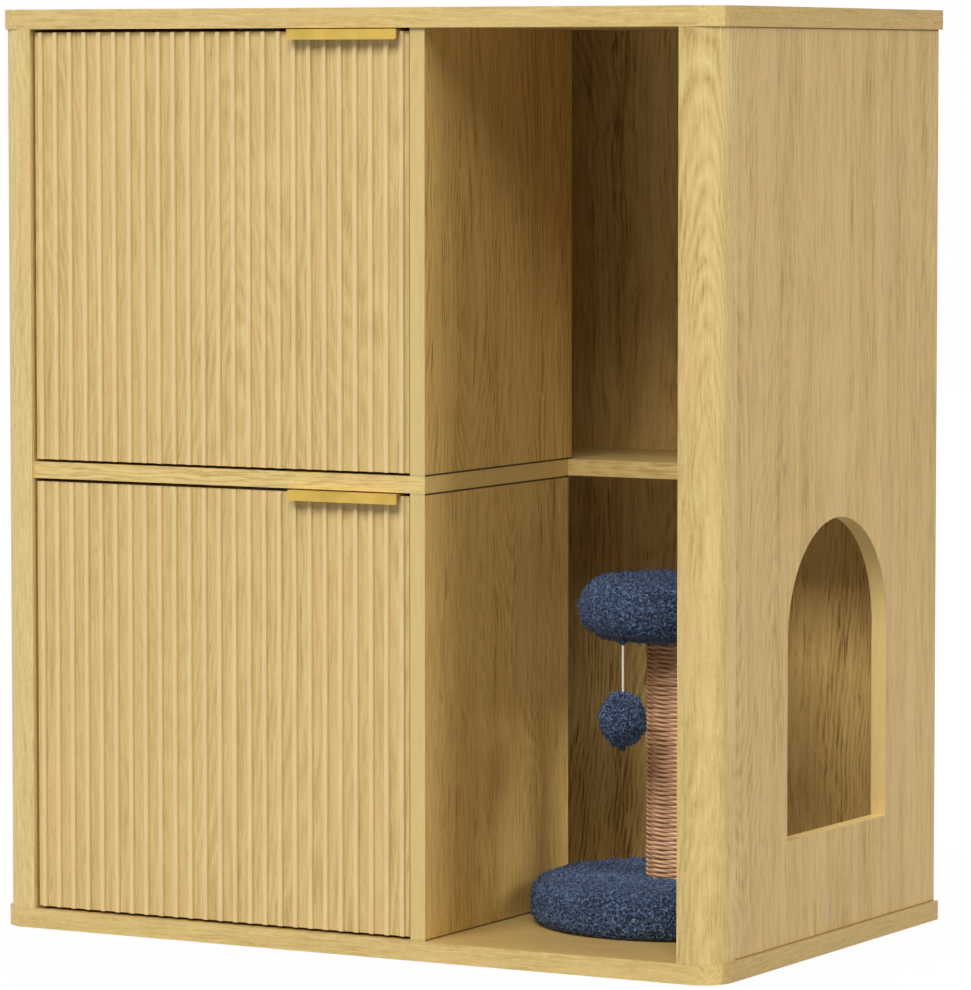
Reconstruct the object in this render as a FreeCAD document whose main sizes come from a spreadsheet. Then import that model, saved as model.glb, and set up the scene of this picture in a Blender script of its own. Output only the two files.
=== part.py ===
import FreeCAD, Part
import math
import os
import Sketcher

# A cat litter box cabinet: an oak board carcass with two ribbed doors on the left, an open bay
# with a scratching post on the right, and an arched way in through the right side board.
# Row frame: origin on the floor under the middle of the cabinet, +Z up, +X to the cabinet's right
# as seen from the front, +Y to the back. All lengths are millimetres, all angles degrees.

doc = FreeCAD.newDocument("cat_litter_cabinet")
sheet = doc.addObject("Spreadsheet::Sheet", "Sizes")

DIMENSIONS = {
    # Carcass
    "cabinet_width": 750.0,
    "cabinet_depth": 458.0,
    "cabinet_height": 850.0,
    "handle_overhang": 5.0,
    "cap_thickness": 18.0,
    "board_thickness": 15.0,
    "cap_corner_radius": 28.0,
    "side_overhang": 3.0,
    "back_overhang": 3.0,
    "back_recess": 3.0,
    "post_width": 40.0,
    "post_depth": 40.0,
    "front_setback": 3.0,
    "partition_left": 441.0,
    "upper_partition_depth": 275.0,
    "lower_partition_depth": 269.0,
    "shelf_top_height": 434.0,
    "ledge_depth": 165.0,
    "batten_depth": 60.0,
    # Arched way in
    "arch_middle_from_front": 245.0,
    "arch_width": 205.0,
    "arch_sill_height": 110.5,
    "arch_top_height": 393.0,
    # Doors
    "door_side_gap": 1.8,
    "door_top_gap": 3.0,
    "door_bottom_gap": 2.6,
    "door_core_thickness": 15.0,
    "rib_height": 3.0,
    "rib_width": 5.0,
    "rib_side_slope": 0.5,
    "rib_pitch": 15.95,
    # Edge pulls
    "pull_from_free_edge": 7.6,
    "pull_length": 113.2,
    "pull_wall": 2.0,
    "pull_drop": 9.4,
    "pull_seat_depth": 14.0,
    "pull_corner_radius": 2.5,
    "pull_screw_spacing": 80.0,
    "pull_screw_from_face": 10.0,
    # Cup hinges
    "hinge_axis_from_edge": 8.0,
    "hinge_axis_from_face": 5.0,
    "hinge_end_distance": 80.0,
    "cup_radius": 17.5,
    "cup_depth": 11.5,
    "cup_wall": 1.0,
    "cup_edge_distance": 5.0,
    "cup_clearance": 0.1,
    "flange_thickness": 1.2,
    "flange_lip": 1.2,
    "flange_width": 14.0,
    "flange_height": 60.0,
    "flange_screw_spacing": 46.0,
    "link_pivot_from_edge": 7.2,
    "link_pivot_from_face": 25.0,
    "link_rise": 7.0,
    "link_tip_room": 1.8,
    "link_tip_lift": 3.5,
    "link_thickness": 2.0,
    "link_height": 5.0,
    "link_eye_radius": 2.8,
    "link_side_clearance": 0.3,
    "hinge_pin_radius": 1.5,
    "pin_clearance": 0.05,
    "arm_height": 12.0,
    "arm_nose_radius": 3.6,
    "arm_length": 54.0,
    "arm_slot_length": 9.5,
    "arm_foot_start": 22.0,
    "arm_screw_from_end": 12.0,
    "plate_thickness": 2.0,
    "plate_height": 50.0,
    "plate_depth": 36.0,
    "plate_screw_spacing": 32.0,
    # Small pan head screws
    "screw_radius": 1.9,
    "screw_head_radius": 3.6,
    "screw_head_height": 1.8,
    "screw_length": 12.0,
    "screw_clearance": 0.05,
    # Batten screws, sunk flush
    "batten_screw_radius": 2.0,
    "batten_screw_head_radius": 4.0,
    "batten_screw_head_height": 2.5,
    "batten_screw_length": 28.0,
    "batten_screw_from_back": 10.0,
    "batten_screw_from_end": 40.0,
    # Pull screws, sunk flush
    "pull_screw_radius": 1.5,
    "pull_screw_head_radius": 2.9,
    "pull_screw_head_height": 1.4,
    "pull_screw_length": 13.0,
    # Magnetic catches
    "catch_from_free_edge": 152.7,
    "catch_width": 27.5,
    "catch_depth": 22.0,
    "catch_height": 12.0,
    "catch_gap": 0.4,
    "catch_ear_width": 8.0,
    "catch_ear_height": 3.0,
    "magnet_inset": 2.5,
    "magnet_depth": 14.0,
    "magnet_height": 7.0,
    "magnet_proud": 0.5,
    "strike_width": 24.0,
    "strike_height": 14.0,
    "strike_thickness": 1.2,
    "strike_drop": 2.5,
    "strike_screw_inset": 4.0,
    "strike_screw_radius": 1.3,
    "strike_screw_head_radius": 2.4,
    "strike_screw_head_height": 1.2,
    "strike_screw_length": 9.0,
    # Board joinery
    "dowel_radius": 4.0,
    "dowel_length": 30.0,
    "dowel_clearance": 0.05,
    "dowel_end_room": 1.0,
    "dowel_side_shift": 5.0,
    "post_dowel_inset": 24.0,
    "back_dowel_inset": 187.5,
    "cam_radius": 7.5,
    "cam_depth": 11.0,
    "cam_edge_distance": 24.0,
    "cam_inset": 48.0,
    "cam_bolt_radius": 3.0,
    "cam_bolt_anchor": 11.0,
    "back_screw_radius": 2.0,
    "back_screw_head_radius": 4.0,
    "back_screw_head_height": 2.5,
    "back_screw_length": 40.0,
    # Scratching post
    "post_middle_from_front": 218.0,
    "base_side_gap": 3.0,
    "base_partition_gap": 9.0,
    "base_height": 44.0,
    "base_top_round": 18.0,
    "base_foot_round": 13.0,
    "base_board_margin": 20.0,
    "base_board_thickness": 15.0,
    "plush_wall": 3.0,
    "core_radius": 23.5,
    "core_wall": 3.5,
    "rope_radius": 27.6,
    "core_clearance": 0.3,
    "platform_bottom_height": 280.0,
    "platform_radius": 89.0,
    "platform_height": 55.0,
    "platform_round": 27.0,
    "platform_board_margin": 12.0,
    "platform_board_thickness": 12.0,
    "platform_board_rise": 12.0,
    "end_plug_length": 22.0,
    "end_plug_clearance": 0.1,
    "bolt_radius": 4.0,
    "bolt_head_radius": 8.0,
    "bolt_head_height": 4.0,
    "bolt_clearance": 0.1,
    # Hanging ball
    "string_from_post_left": 17.0,
    "string_from_post_front": 72.0,
    "string_radius": 1.1,
    "string_clearance": 0.05,
    "tie_radius": 2.6,
    "tie_gap": 0.05,
    "ball_middle_height": 210.0,
    "ball_radius": 21.5,
    "ball_half_height": 23.0,
    "knot_radius": 3.0,
    "knot_gap": 0.1,
}

BACK_SCREWS = 4
FULL_TURN = 360
SAME_PLACE = 0.01
SAME_VOLUME = 1.0

for row, (name, number) in enumerate(DIMENSIONS.items(), start=1):
    sheet.set(f"A{row}", name)
    sheet.set(f"B{row}", str(number))
    sheet.setAlias(f"B{row}", name)
doc.recompute()


class Size:
    """A length that carries its value and the spreadsheet expression that it comes from."""

    def __init__(self, value, text):
        self.value = float(value)
        self.text = text

    def __add__(self, other):
        other = as_size(other)
        return Size(self.value + other.value, f"({self.text} + {other.text})")

    def __sub__(self, other):
        other = as_size(other)
        return Size(self.value - other.value, f"({self.text} - {other.text})")

    def __mul__(self, factor):
        factor = as_size(factor)
        return Size(self.value * factor.value, f"({self.text} * {factor.text})")

    def __truediv__(self, factor):
        factor = as_size(factor)
        return Size(self.value / factor.value, f"({self.text} / {factor.text})")

    def __neg__(self):
        return Size(-self.value, f"(-1 * {self.text})")


def as_size(number):
    if isinstance(number, Size):
        return number
    return Size(number, f"({float(number)})")


def whole_part(number):
    return Size(math.floor(number.value), f"floor({number.text})")


def size(name):
    return Size(sheet.get(name), f"Sizes.{name}")


def bind(item, prop, length):
    item.setExpression(prop, as_size(length).text)


def place(item, corner):
    for axis_name, length in zip("xyz", corner):
        bind(item, f".Placement.Base.{axis_name}", length)


# ---------------------------------------------------------------- solids by primitives

def box(label, corner, extent):
    item = doc.addObject("Part::Box", label)
    item.Label = label
    for prop, length in zip(("Length", "Width", "Height"), extent):
        bind(item, prop, length)
    place(item, corner)
    return item


TURN_ONTO_AXIS = {
    "X": FreeCAD.Rotation(FreeCAD.Vector(0, 1, 0), 90),
    "Y": FreeCAD.Rotation(FreeCAD.Vector(1, 0, 0), -90),
    "Z": FreeCAD.Rotation(),
}


def rod(label, start, radius, length, axis="Z"):
    item = doc.addObject("Part::Cylinder", label)
    item.Label = label
    item.Placement = FreeCAD.Placement(FreeCAD.Vector(), TURN_ONTO_AXIS[axis])
    bind(item, "Radius", radius)
    bind(item, "Height", length)
    place(item, start)
    return item


def ball(label, middle, radius):
    item = doc.addObject("Part::Sphere", label)
    item.Label = label
    bind(item, "Radius", radius)
    place(item, middle)
    return item


def fuse(label, pieces):
    item = doc.addObject("Part::MultiFuse", label)
    item.Label = label
    item.Shapes = pieces
    return item


def cut(label, solid, tools):
    tool = tools[0]
    if len(tools) > 1:
        tool = group(label + "_tools", tools)
    item = doc.addObject("Part::Cut", label)
    item.Label = label
    item.Base = solid
    item.Tool = tool
    return item


def group(label, pieces):
    item = doc.addObject("Part::Compound", label)
    item.Label = label
    item.Links = pieces
    return item


# ---------------------------------------------------------------- solids by sketches

def new_body(label, corner):
    body = doc.addObject("PartDesign::Body", label)
    body.Label = label
    place(body, corner)
    return body


def new_sketch(body, name, plane):
    sketch = body.newObject("Sketcher::SketchObject", name)
    for feature in body.Origin.OriginFeatures:
        if feature.Role == plane:
            sketch.AttachmentSupport = [(feature, "")]
    sketch.MapMode = "FlatFace"
    return sketch


def pin_along(sketch, kind, edge, end, length):
    """Ties one end of an edge by its distance from one of the sketch's own axes."""
    length = as_size(length)
    if length.value == 0:
        axis_line = -2 if kind == "DistanceX" else -1
        sketch.addConstraint(Sketcher.Constraint("PointOnObject", edge, end, axis_line))
        return
    tie = sketch.addConstraint(Sketcher.Constraint(kind, -1, 1, edge, end, length.value))
    sketch.setExpression(f"Constraints[{tie}]", length.text)


def pin_point(sketch, edge, end, across, up):
    pin_along(sketch, "DistanceX", edge, end, across)
    pin_along(sketch, "DistanceY", edge, end, up)


def polygon(sketch, corners):
    """Closes a polygon through its corners, each tied to the spreadsheet."""
    points = [FreeCAD.Vector(as_size(a).value, as_size(b).value, 0) for a, b in corners]
    edges = [sketch.addGeometry(Part.LineSegment(start, end), False)
             for start, end in zip(points, points[1:] + points[:1])]
    for index, edge in enumerate(edges):
        following = edges[(index + 1) % len(edges)]
        sketch.addConstraint(Sketcher.Constraint("Coincident", edge, 2, following, 1))
        pin_point(sketch, edge, 1, *corners[index])
    return edges


def pad(body, name, sketch, length, reversed_way=False):
    feature = body.newObject("PartDesign::Pad", name)
    feature.Profile = sketch
    bind(feature, "Length", length)
    feature.Reversed = reversed_way
    sketch.Visibility = False
    doc.recompute()
    return feature


def upright_edges(shape, spots):
    """Names of the vertical edges that stand at the given (x, y) spots of a shape."""
    names = []
    for number, edge in enumerate(shape.Edges, start=1):
        start, end = edge.Vertexes[0].Point, edge.Vertexes[-1].Point
        if abs(start.x - end.x) > SAME_PLACE or abs(start.y - end.y) > SAME_PLACE:
            continue
        for x, y in spots:
            if abs(start.x - as_size(x).value) < SAME_PLACE and abs(start.y - as_size(y).value) < SAME_PLACE:
                names.append(f"Edge{number}")
    return names


def round_upright_edges(body, solid, spots, radius):
    feature = body.newObject("PartDesign::Fillet", body.Label + "_round")
    feature.Base = (solid, upright_edges(solid.Shape, spots))
    bind(feature, "Radius", radius)
    doc.recompute()
    return feature


# ---------------------------------------------------------------- places used by many pieces

width = size("cabinet_width")
depth = size("cabinet_depth")
height = size("cabinet_height")
cap = size("cap_thickness")
board = size("board_thickness")

left = -width / 2
right = width / 2
back = (depth + size("handle_overhang")) / 2
front = back - depth
inner_bottom = cap
inner_top = height - cap
inner_height = inner_top - inner_bottom
side_outer_left = left + size("side_overhang")
side_inner_left = side_outer_left + board
side_outer_right = right - size("side_overhang")
side_inner_right = side_outer_right - board
side_back = back - size("back_overhang")
side_depth = side_back - front - size("post_depth")
post_inner_left = left + size("post_width")
post_inner_right = right - size("post_width")
post_back = front + size("post_depth")
set_front = front + size("front_setback")
partition_x = left + size("partition_left")
bay_left = partition_x + board
shelf_top = size("shelf_top_height")
shelf_bottom = shelf_top - board
shelf_middle = shelf_top - board / 2
back_panel_back = side_back - size("back_recess")
back_panel_front = back_panel_back - board
ledge_front = back_panel_front - size("ledge_depth")

nodes = {}
holes = []


def keep(item):
    nodes[item.Label] = item
    return item


def reach(solid, tool):
    return solid.Shape.BoundBox.intersect(tool.Shape.BoundBox)


def drilled(label, solid, more_tools=()):
    """The solid with every fastener's hole that reaches it, and any other tools given."""
    doc.recompute()
    tools = [tool for tool in holes if reach(solid, tool)] + list(more_tools)
    return cut(label, solid, tools)


def along_axis(start, axis, distance):
    moved = list(start)
    moved["XYZ".index(axis)] = moved["XYZ".index(axis)] + distance
    return moved


def screw(label, head_top, axis, way, kind="screw", length="screw_length", sunk=False):
    """A screw whose head's top is at head_top and whose point lies way (1 or -1) along the axis.

    Its hole joins the list of holes, and so does its head's if the head is sunk."""
    radius, head_radius = size(kind + "_radius"), size(kind + "_head_radius")
    head_height, shank_length = size(kind + "_head_height"), size(length)
    clearance = size("screw_clearance")
    if way > 0:
        head_start = head_top
        shank_start = along_axis(head_top, axis, head_height)
    else:
        head_start = along_axis(head_top, axis, -head_height)
        shank_start = along_axis(head_start, axis, -shank_length)
    shank = rod(label + "_shank", shank_start, radius, shank_length, axis)
    head = rod(label + "_head", head_start, head_radius, head_height, axis)
    holes.append(rod(label + "_hole", shank_start, radius + clearance, shank_length, axis))
    if sunk:
        holes.append(rod(label + "_sink", head_start, head_radius + clearance, head_height, axis))
    return fuse(label, [shank, head])


# ---------------------------------------------------------------- joinery between the boards
# Loose dowels locate each board. Cam nuts in the boards' inner faces pull on bolts that are
# screwed into the top and bottom panels.

dowels = []
cam_nuts = []
cam_bolts = []
cam_holes = []


def add_dowel(middle, axis="Z"):
    label = f"dowel_{len(dowels) + 1}"
    length = size("dowel_length")
    room = size("dowel_end_room")
    start = along_axis(middle, axis, -(length / 2))
    hole_start = along_axis(start, axis, -room)
    dowels.append(rod(label, start, size("dowel_radius"), length, axis))
    hole_radius = size("dowel_radius") + size("dowel_clearance")
    holes.append(rod(label + "_hole", hole_start, hole_radius, length + room * 2, axis))


def add_cam(face_x, way, middle_y, joint_z, up):
    """A cam nut in a board's inner face, which looks way along X, and its bolt into the panel."""
    label = f"cam_{len(cam_nuts) + 1}"
    deep = size("cam_depth")
    clearance = size("dowel_clearance")
    bolt_length = size("cam_edge_distance") + size("cam_bolt_anchor")
    nut_z = joint_z - size("cam_edge_distance") * up
    nut_spot = (face_x - deep if way > 0 else face_x, middle_y, nut_z)
    bolt_spot = (face_x - (board / 2) * way, middle_y, nut_z if up > 0 else joint_z - size("cam_bolt_anchor"))
    bolt_hole = rod(label + "_bolt_hole", bolt_spot, size("cam_bolt_radius") + clearance, bolt_length)
    nut = rod(label + "_disc", nut_spot, size("cam_radius"), deep, "X")
    cam_nuts.append(cut(label, nut, [bolt_hole]))
    cam_bolts.append(rod(label + "_bolt", bolt_spot, size("cam_bolt_radius"), bolt_length))
    holes.append(rod(label + "_hole", nut_spot, size("cam_radius") + clearance, deep, "X"))
    holes.append(bolt_hole)


cam_inset = size("cam_inset")
dowel_step = size("cam_edge_distance")
side_front_spot = post_back + size("batten_depth") + cam_inset
side_back_spot = side_back - cam_inset
partition_front_spot = set_front + cam_inset
partition_back_spot = set_front + size("lower_partition_depth") - cam_inset
post_dowel_y = front + size("post_dowel_inset")

for joint_z, up in ((inner_top, 1), (inner_bottom, -1)):
    for face_x, way, near, far in (
            (side_inner_left, 1, side_front_spot, side_back_spot),
            (side_inner_right, -1, side_front_spot, side_back_spot),
            (partition_x, -1, partition_front_spot, partition_back_spot)):
        middle_x = face_x - (board / 2) * way
        for spot, inward in ((near, 1), (far, -1)):
            add_cam(face_x, way, spot, joint_z, up)
            add_dowel((middle_x, spot + dowel_step * inward, joint_z))
    for middle_x in (left + size("post_dowel_inset"), right - size("post_dowel_inset")):
        add_dowel((middle_x, post_dowel_y, joint_z))
    for middle_x in (left + size("back_dowel_inset"), right - size("back_dowel_inset")):
        add_dowel((middle_x, back_panel_front + board / 2, joint_z))

for spot in (side_front_spot, side_back_spot):
    add_dowel((side_inner_left + size("dowel_side_shift"), spot, shelf_middle), "X")
ledge_middle = ledge_front + size("ledge_depth") / 2
add_dowel((side_inner_right - size("dowel_side_shift"), ledge_middle, shelf_middle), "X")
for spot in (partition_front_spot, partition_back_spot):
    add_dowel((partition_x + board / 2, spot, shelf_middle))

keep(group("wood_dowels", dowels))
keep(group("cam_nuts", cam_nuts))
keep(group("cam_bolts", cam_bolts))

back_width = side_inner_right - side_inner_left
back_screws = []
back_screw_step = back_width / BACK_SCREWS
for number in range(BACK_SCREWS):
    screw_x = side_inner_left + back_screw_step * number + back_screw_step / 2
    head_top = (screw_x, back_panel_back, shelf_middle)
    back_screws.append(screw(f"back_screw_{number}", head_top, "Y", -1, "back_screw", "back_screw_length", True))
keep(group("back_panel_screws", back_screws))

# ---------------------------------------------------------------- places of the doors' fittings

door_left = post_inner_left + size("door_side_gap")
door_width = partition_x - size("door_side_gap") - door_left
door_thickness = size("door_core_thickness") + size("rib_height")
door_right = door_left + door_width
pull_left = door_right - size("pull_from_free_edge") - size("pull_length")
door_front = set_front
door_back = door_front + door_thickness
cup_x = door_left + size("cup_edge_distance") + size("cup_radius")
pivot_x = door_left + size("link_pivot_from_edge")
pivot_y = door_front + size("link_pivot_from_face")
plate_back = pivot_y + size("arm_length")
batten_back = post_back + size("batten_depth")

DOORWAYS = {
    "upper": (shelf_top, inner_top),
    "lower": (inner_bottom, shelf_bottom),
}


def door_levels(name):
    floor, ceiling = DOORWAYS[name]
    return floor + size("door_bottom_gap"), ceiling - size("door_top_gap")


def hinge_levels(name):
    low, high = door_levels(name)
    return low + size("hinge_end_distance"), high - size("hinge_end_distance")


# ---------------------------------------------------------------- screws that need the holes first

plate_screws = []
arm_screws = []
for name in DOORWAYS:
    for number, level in enumerate(hinge_levels(name)):
        tag = f"{name}_{number}"
        head_x = post_inner_left + size("plate_thickness") + size("screw_head_height")
        for way in (-1, 1):
            level_z = level + (size("plate_screw_spacing") / 2) * way
            spot = (head_x, plate_back - size("plate_depth") / 2, level_z)
            plate_screws.append(screw(f"plate_screw_{tag}_{way + 1}", spot, "X", -1))
        head_x = pivot_x + size("arm_nose_radius") + size("screw_head_height")
        spot = (head_x, plate_back - size("arm_screw_from_end"), level)
        arm_screws.append(screw(f"arm_screw_{tag}", spot, "X", -1))
keep(group("hinge_plate_screws", plate_screws))
keep(group("hinge_arm_screws", arm_screws))

batten_screws = []
for name, (floor, ceiling) in DOORWAYS.items():
    inset = size("batten_screw_from_end")
    for number, level in enumerate((floor + inset, (floor + ceiling) / 2, ceiling - inset)):
        head_top = (post_inner_left, batten_back - size("batten_screw_from_back"), level)
        batten_screws.append(screw(f"batten_screw_{name}_{number}", head_top, "X", -1,
                                   "batten_screw", "batten_screw_length", True))
keep(group("batten_screws", batten_screws))

catch_x = door_right - size("catch_from_free_edge") - size("catch_width")
strike_back = door_back + size("strike_thickness")
magnet_front = strike_back + size("catch_gap")
catch_front = magnet_front + size("magnet_proud")
strike_x = catch_x + (size("catch_width") - size("strike_width")) / 2
ear = size("catch_ear_width")

catch_screws = []
for name, (floor, ceiling) in DOORWAYS.items():
    ear_bottom = ceiling - size("catch_ear_height")
    for number, ear_x in enumerate((catch_x - ear / 2, catch_x + size("catch_width") + ear / 2)):
        head_top = (ear_x, catch_front + size("catch_depth") / 2, ear_bottom - size("screw_head_height"))
        catch_screws.append(screw(f"catch_screw_{name}_{number}", head_top, "Z", 1))
keep(group("catch_screws", catch_screws))

for name in DOORWAYS:
    door_low, door_top = door_levels(name)
    cup_screws = []
    for number, level in enumerate(hinge_levels(name)):
        for way in (-1, 1):
            level_z = level + (size("flange_screw_spacing") / 2) * way
            head_y = door_back + size("flange_thickness") + size("screw_head_height")
            cup_screws.append(screw(f"{name}_cup_screw_{number}_{way + 1}", (cup_x, head_y, level_z), "Y", -1))
    keep(group(f"{name}_cup_screws", cup_screws))

    pull_middle = pull_left + size("pull_length") / 2
    pull_screws = []
    for way in (-1, 1):
        spot_x = pull_middle + (size("pull_screw_spacing") / 2) * way
        head_top = (spot_x, door_front + size("pull_screw_from_face"), door_top + size("pull_wall"))
        pull_screws.append(screw(f"{name}_pull_screw_{way + 1}", head_top, "Z", -1,
                                 "pull_screw", "pull_screw_length", True))
    keep(group(f"{name}_handle_screws", pull_screws))

    strike_screws = []
    strike_low = door_top - size("strike_drop") - size("strike_height")
    inset = size("strike_screw_inset")
    for number, spot_x in enumerate((strike_x + inset, strike_x + size("strike_width") - inset)):
        head_top = (spot_x, strike_back + size("strike_screw_head_height"), strike_low + inset)
        strike_screws.append(screw(f"{name}_strike_screw_{number}", head_top, "Y", -1,
                                   "strike_screw", "strike_screw_length"))
    keep(group(f"{name}_strike_screws", strike_screws))

# The post's bolt comes up through the bottom panel and the base board into the core's end plug.
base_width = side_inner_right - size("base_side_gap") - bay_left - size("base_partition_gap")
base_radius = base_width / 2
post_x = side_inner_right - size("base_side_gap") - base_radius
post_y = front + size("post_middle_from_front")
base_board_radius = base_radius - size("base_board_margin")
platform_board_radius = size("platform_radius") - size("platform_board_margin")
bolt_head = size("bolt_head_height")
bolt_wide = size("bolt_radius") + size("bolt_clearance")
bolt_head_wide = size("bolt_head_radius") + size("bolt_clearance")
base_board_top = inner_bottom + size("base_board_thickness")
platform_bottom = size("platform_bottom_height")
platform_board_low = platform_bottom + size("platform_board_rise")
platform_board_top = platform_board_low + size("platform_board_thickness")
plug = size("end_plug_length")
base_bolt_length = base_board_top + plug - bolt_head
top_bolt_length = size("platform_board_thickness") + plug


def post_bolt(label, head_low, shank_low, shank_length):
    shank = rod(label + "_shank", (post_x, post_y, shank_low), size("bolt_radius"), shank_length)
    head = rod(label + "_head", (post_x, post_y, head_low), size("bolt_head_radius"), bolt_head)
    holes.append(rod(label + "_hole", (post_x, post_y, shank_low), bolt_wide, shank_length))
    holes.append(rod(label + "_sink", (post_x, post_y, head_low), bolt_head_wide, bolt_head))
    return fuse(label, [shank, head])


keep(group("post_bolts", [
    post_bolt("base_bolt", 0, bolt_head, base_bolt_length),
    post_bolt("top_bolt", platform_board_top, platform_board_top - top_bolt_length, top_bolt_length),
]))

# ---------------------------------------------------------------- top and bottom panels


def cap_panel(label, low):
    body = new_body(label + "_blank", (left, front, low))
    plan = new_sketch(body, label + "_plan", "XY_Plane")
    polygon(plan, [(0, 0), (width, 0), (width, depth), (0, depth)])
    plate = pad(body, label + "_pad", plan, cap)
    round_upright_edges(body, plate, [(0, 0), (width, 0)], size("cap_corner_radius"))
    return keep(drilled(label, body))


cap_panel("bottom_panel", 0)
cap_panel("top_panel", inner_top)

# ---------------------------------------------------------------- corner posts


def corner_post(label, corner_x, rounded_left):
    post_wide = size("post_width") - size("side_overhang")
    body = new_body(label + "_blank", (corner_x, front, inner_bottom))
    plan = new_sketch(body, label + "_plan", "XY_Plane")
    polygon(plan, [(0, 0), (post_wide, 0), (post_wide, size("post_depth")), (0, size("post_depth"))])
    stick = pad(body, label + "_pad", plan, inner_height)
    round_upright_edges(body, stick, [(0 if rounded_left else post_wide, 0)], size("cap_corner_radius"))
    return keep(drilled(label, body))


corner_post("left_post", side_outer_left, True)
corner_post("right_post", post_inner_right, False)

# ---------------------------------------------------------------- side boards and back panel

left_board = box("left_side_blank", (side_outer_left, post_back, inner_bottom), (board, side_depth, inner_height))
keep(drilled("left_side_board", left_board))


def arched_board():
    """The right side board, with the cat's way in cut through it: straight sides, a round head."""
    body = new_body("right_side_blank", (side_inner_right, post_back, inner_bottom))
    outline = new_sketch(body, "right_side_outline", "YZ_Plane")
    polygon(outline, [(0, 0), (side_depth, 0), (side_depth, inner_height), (0, inner_height)])
    slab = pad(body, "right_side_pad", outline, board)
    whole = slab.Shape.Volume
    arch = new_sketch(body, "arch_outline", "YZ_Plane")
    radius = size("arch_width") / 2
    middle = front + size("arch_middle_from_front") - post_back
    near, far = middle - radius, middle + radius
    sill = size("arch_sill_height") - inner_bottom
    spring = size("arch_top_height") - radius - inner_bottom
    corners = [(near, spring), (near, sill), (far, sill), (far, spring)]
    points = [FreeCAD.Vector(across.value, up.value, 0) for across, up in corners]
    lines = [arch.addGeometry(Part.LineSegment(start, end), False)
             for start, end in zip(points, points[1:])]
    hub = FreeCAD.Vector(middle.value, spring.value, 0)
    circle = Part.Circle(hub, FreeCAD.Vector(0, 0, 1), radius.value)
    head = arch.addGeometry(Part.ArcOfCircle(circle, 0, math.pi), False)
    arch.addConstraint(Sketcher.Constraint("Coincident", lines[0], 2, lines[1], 1))
    arch.addConstraint(Sketcher.Constraint("Coincident", lines[1], 2, lines[2], 1))
    arch.addConstraint(Sketcher.Constraint("Coincident", lines[2], 2, head, 1))
    arch.addConstraint(Sketcher.Constraint("Coincident", head, 2, lines[0], 1))
    pin_point(arch, head, 3, middle, spring)
    pin_point(arch, lines[0], 2, near, sill)
    pin_point(arch, lines[1], 2, far, sill)
    pin_point(arch, lines[2], 2, far, spring)
    pin_along(arch, "DistanceY", lines[0], 1, spring)
    pocket = body.newObject("PartDesign::Pocket", "arch_pocket")
    pocket.Profile = arch
    pocket.Reversed = True
    bind(pocket, "Length", board)
    arch.Visibility = False
    doc.recompute()
    cut_away = radius.value * 2 * (spring.value - sill.value) + math.pi * radius.value ** 2 / 2
    missed = abs(whole - pocket.Shape.Volume - cut_away * board.value)
    assert missed < SAME_VOLUME, "the arch is not cut through"
    return body


keep(drilled("right_side_board", arched_board()))

back_blank = box("back_blank", (side_inner_left, back_panel_front, inner_bottom), (back_width, board, inner_height))
keep(drilled("back_panel", back_blank))

# ---------------------------------------------------------------- shelf, partitions and battens


def shelf_blank():
    """An L-shaped board: full depth on the left, notched round the post, a ledge on the right."""
    body = new_body("shelf_blank", (side_inner_left, set_front, shelf_bottom))
    plan = new_sketch(body, "shelf_plan", "XY_Plane")
    notch_x = post_inner_left - side_inner_left
    notch_y = post_back - set_front
    wide = bay_left - side_inner_left
    deep = back_panel_front - set_front
    polygon(plan, [
        (notch_x, 0), (wide, 0), (wide, ledge_front - set_front), (back_width, ledge_front - set_front),
        (back_width, deep), (0, deep), (0, notch_y), (notch_x, notch_y),
    ])
    pad(body, "shelf_pad", plan, board)
    return body


keep(drilled("middle_shelf", shelf_blank()))

for name, (floor, ceiling) in DOORWAYS.items():
    tall = ceiling - floor
    partition_blank = box(f"{name}_partition_blank", (partition_x, set_front, floor),
                          (board, size(f"{name}_partition_depth"), tall))
    keep(drilled(f"{name}_partition", partition_blank))
    batten_blank = box(f"{name}_batten_blank", (side_inner_left, post_back, floor),
                       (post_inner_left - side_inner_left, size("batten_depth"), tall))
    keep(drilled(f"{name}_hinge_batten", batten_blank))

# ---------------------------------------------------------------- hinge arms on the battens

plates = []
arms = []
pins = []
half_arm = size("arm_height") / 2
nose = size("arm_nose_radius")
for name in DOORWAYS:
    for number, level in enumerate(hinge_levels(name)):
        tag = f"{name}_{number}"
        plate_low = level - size("plate_height") / 2
        plate = box(f"plate_blank_{tag}", (post_inner_left, plate_back - size("plate_depth"), plate_low),
                    (size("plate_thickness"), size("plate_depth"), size("plate_height")))
        plates.append(drilled(f"plate_{tag}", plate))
        arm_low = level - half_arm
        tip = rod(f"arm_tip_{tag}", (pivot_x, pivot_y, arm_low), nose, size("arm_height"))
        beam = box(f"arm_beam_{tag}", (pivot_x - nose, pivot_y, arm_low),
                   (nose * 2, size("arm_length"), size("arm_height")))
        foot_x = post_inner_left + size("plate_thickness")
        foot = box(f"arm_foot_{tag}", (foot_x, pivot_y + size("arm_foot_start"), arm_low),
                   (pivot_x - foot_x, size("arm_length") - size("arm_foot_start"), size("arm_height")))
        slot_height = size("link_height") + size("link_side_clearance") * 2
        slot = box(f"arm_slot_{tag}", (pivot_x - nose, pivot_y - nose, level - slot_height / 2),
                   (nose * 2, size("arm_slot_length") + nose, slot_height))
        pin_hole = rod(f"arm_pin_hole_{tag}", (pivot_x, pivot_y, arm_low), size("hinge_pin_radius"),
                       size("arm_height"))
        arms.append(drilled(f"arm_{tag}", fuse(f"arm_blank_{tag}", [tip, beam, foot]), [slot, pin_hole]))
        pins.append(rod(f"pin_{tag}", (pivot_x, pivot_y, arm_low), size("hinge_pin_radius"), size("arm_height")))
keep(group("hinge_plates", plates))
keep(group("hinge_arms", arms))
keep(group("hinge_pins", pins))


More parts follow.
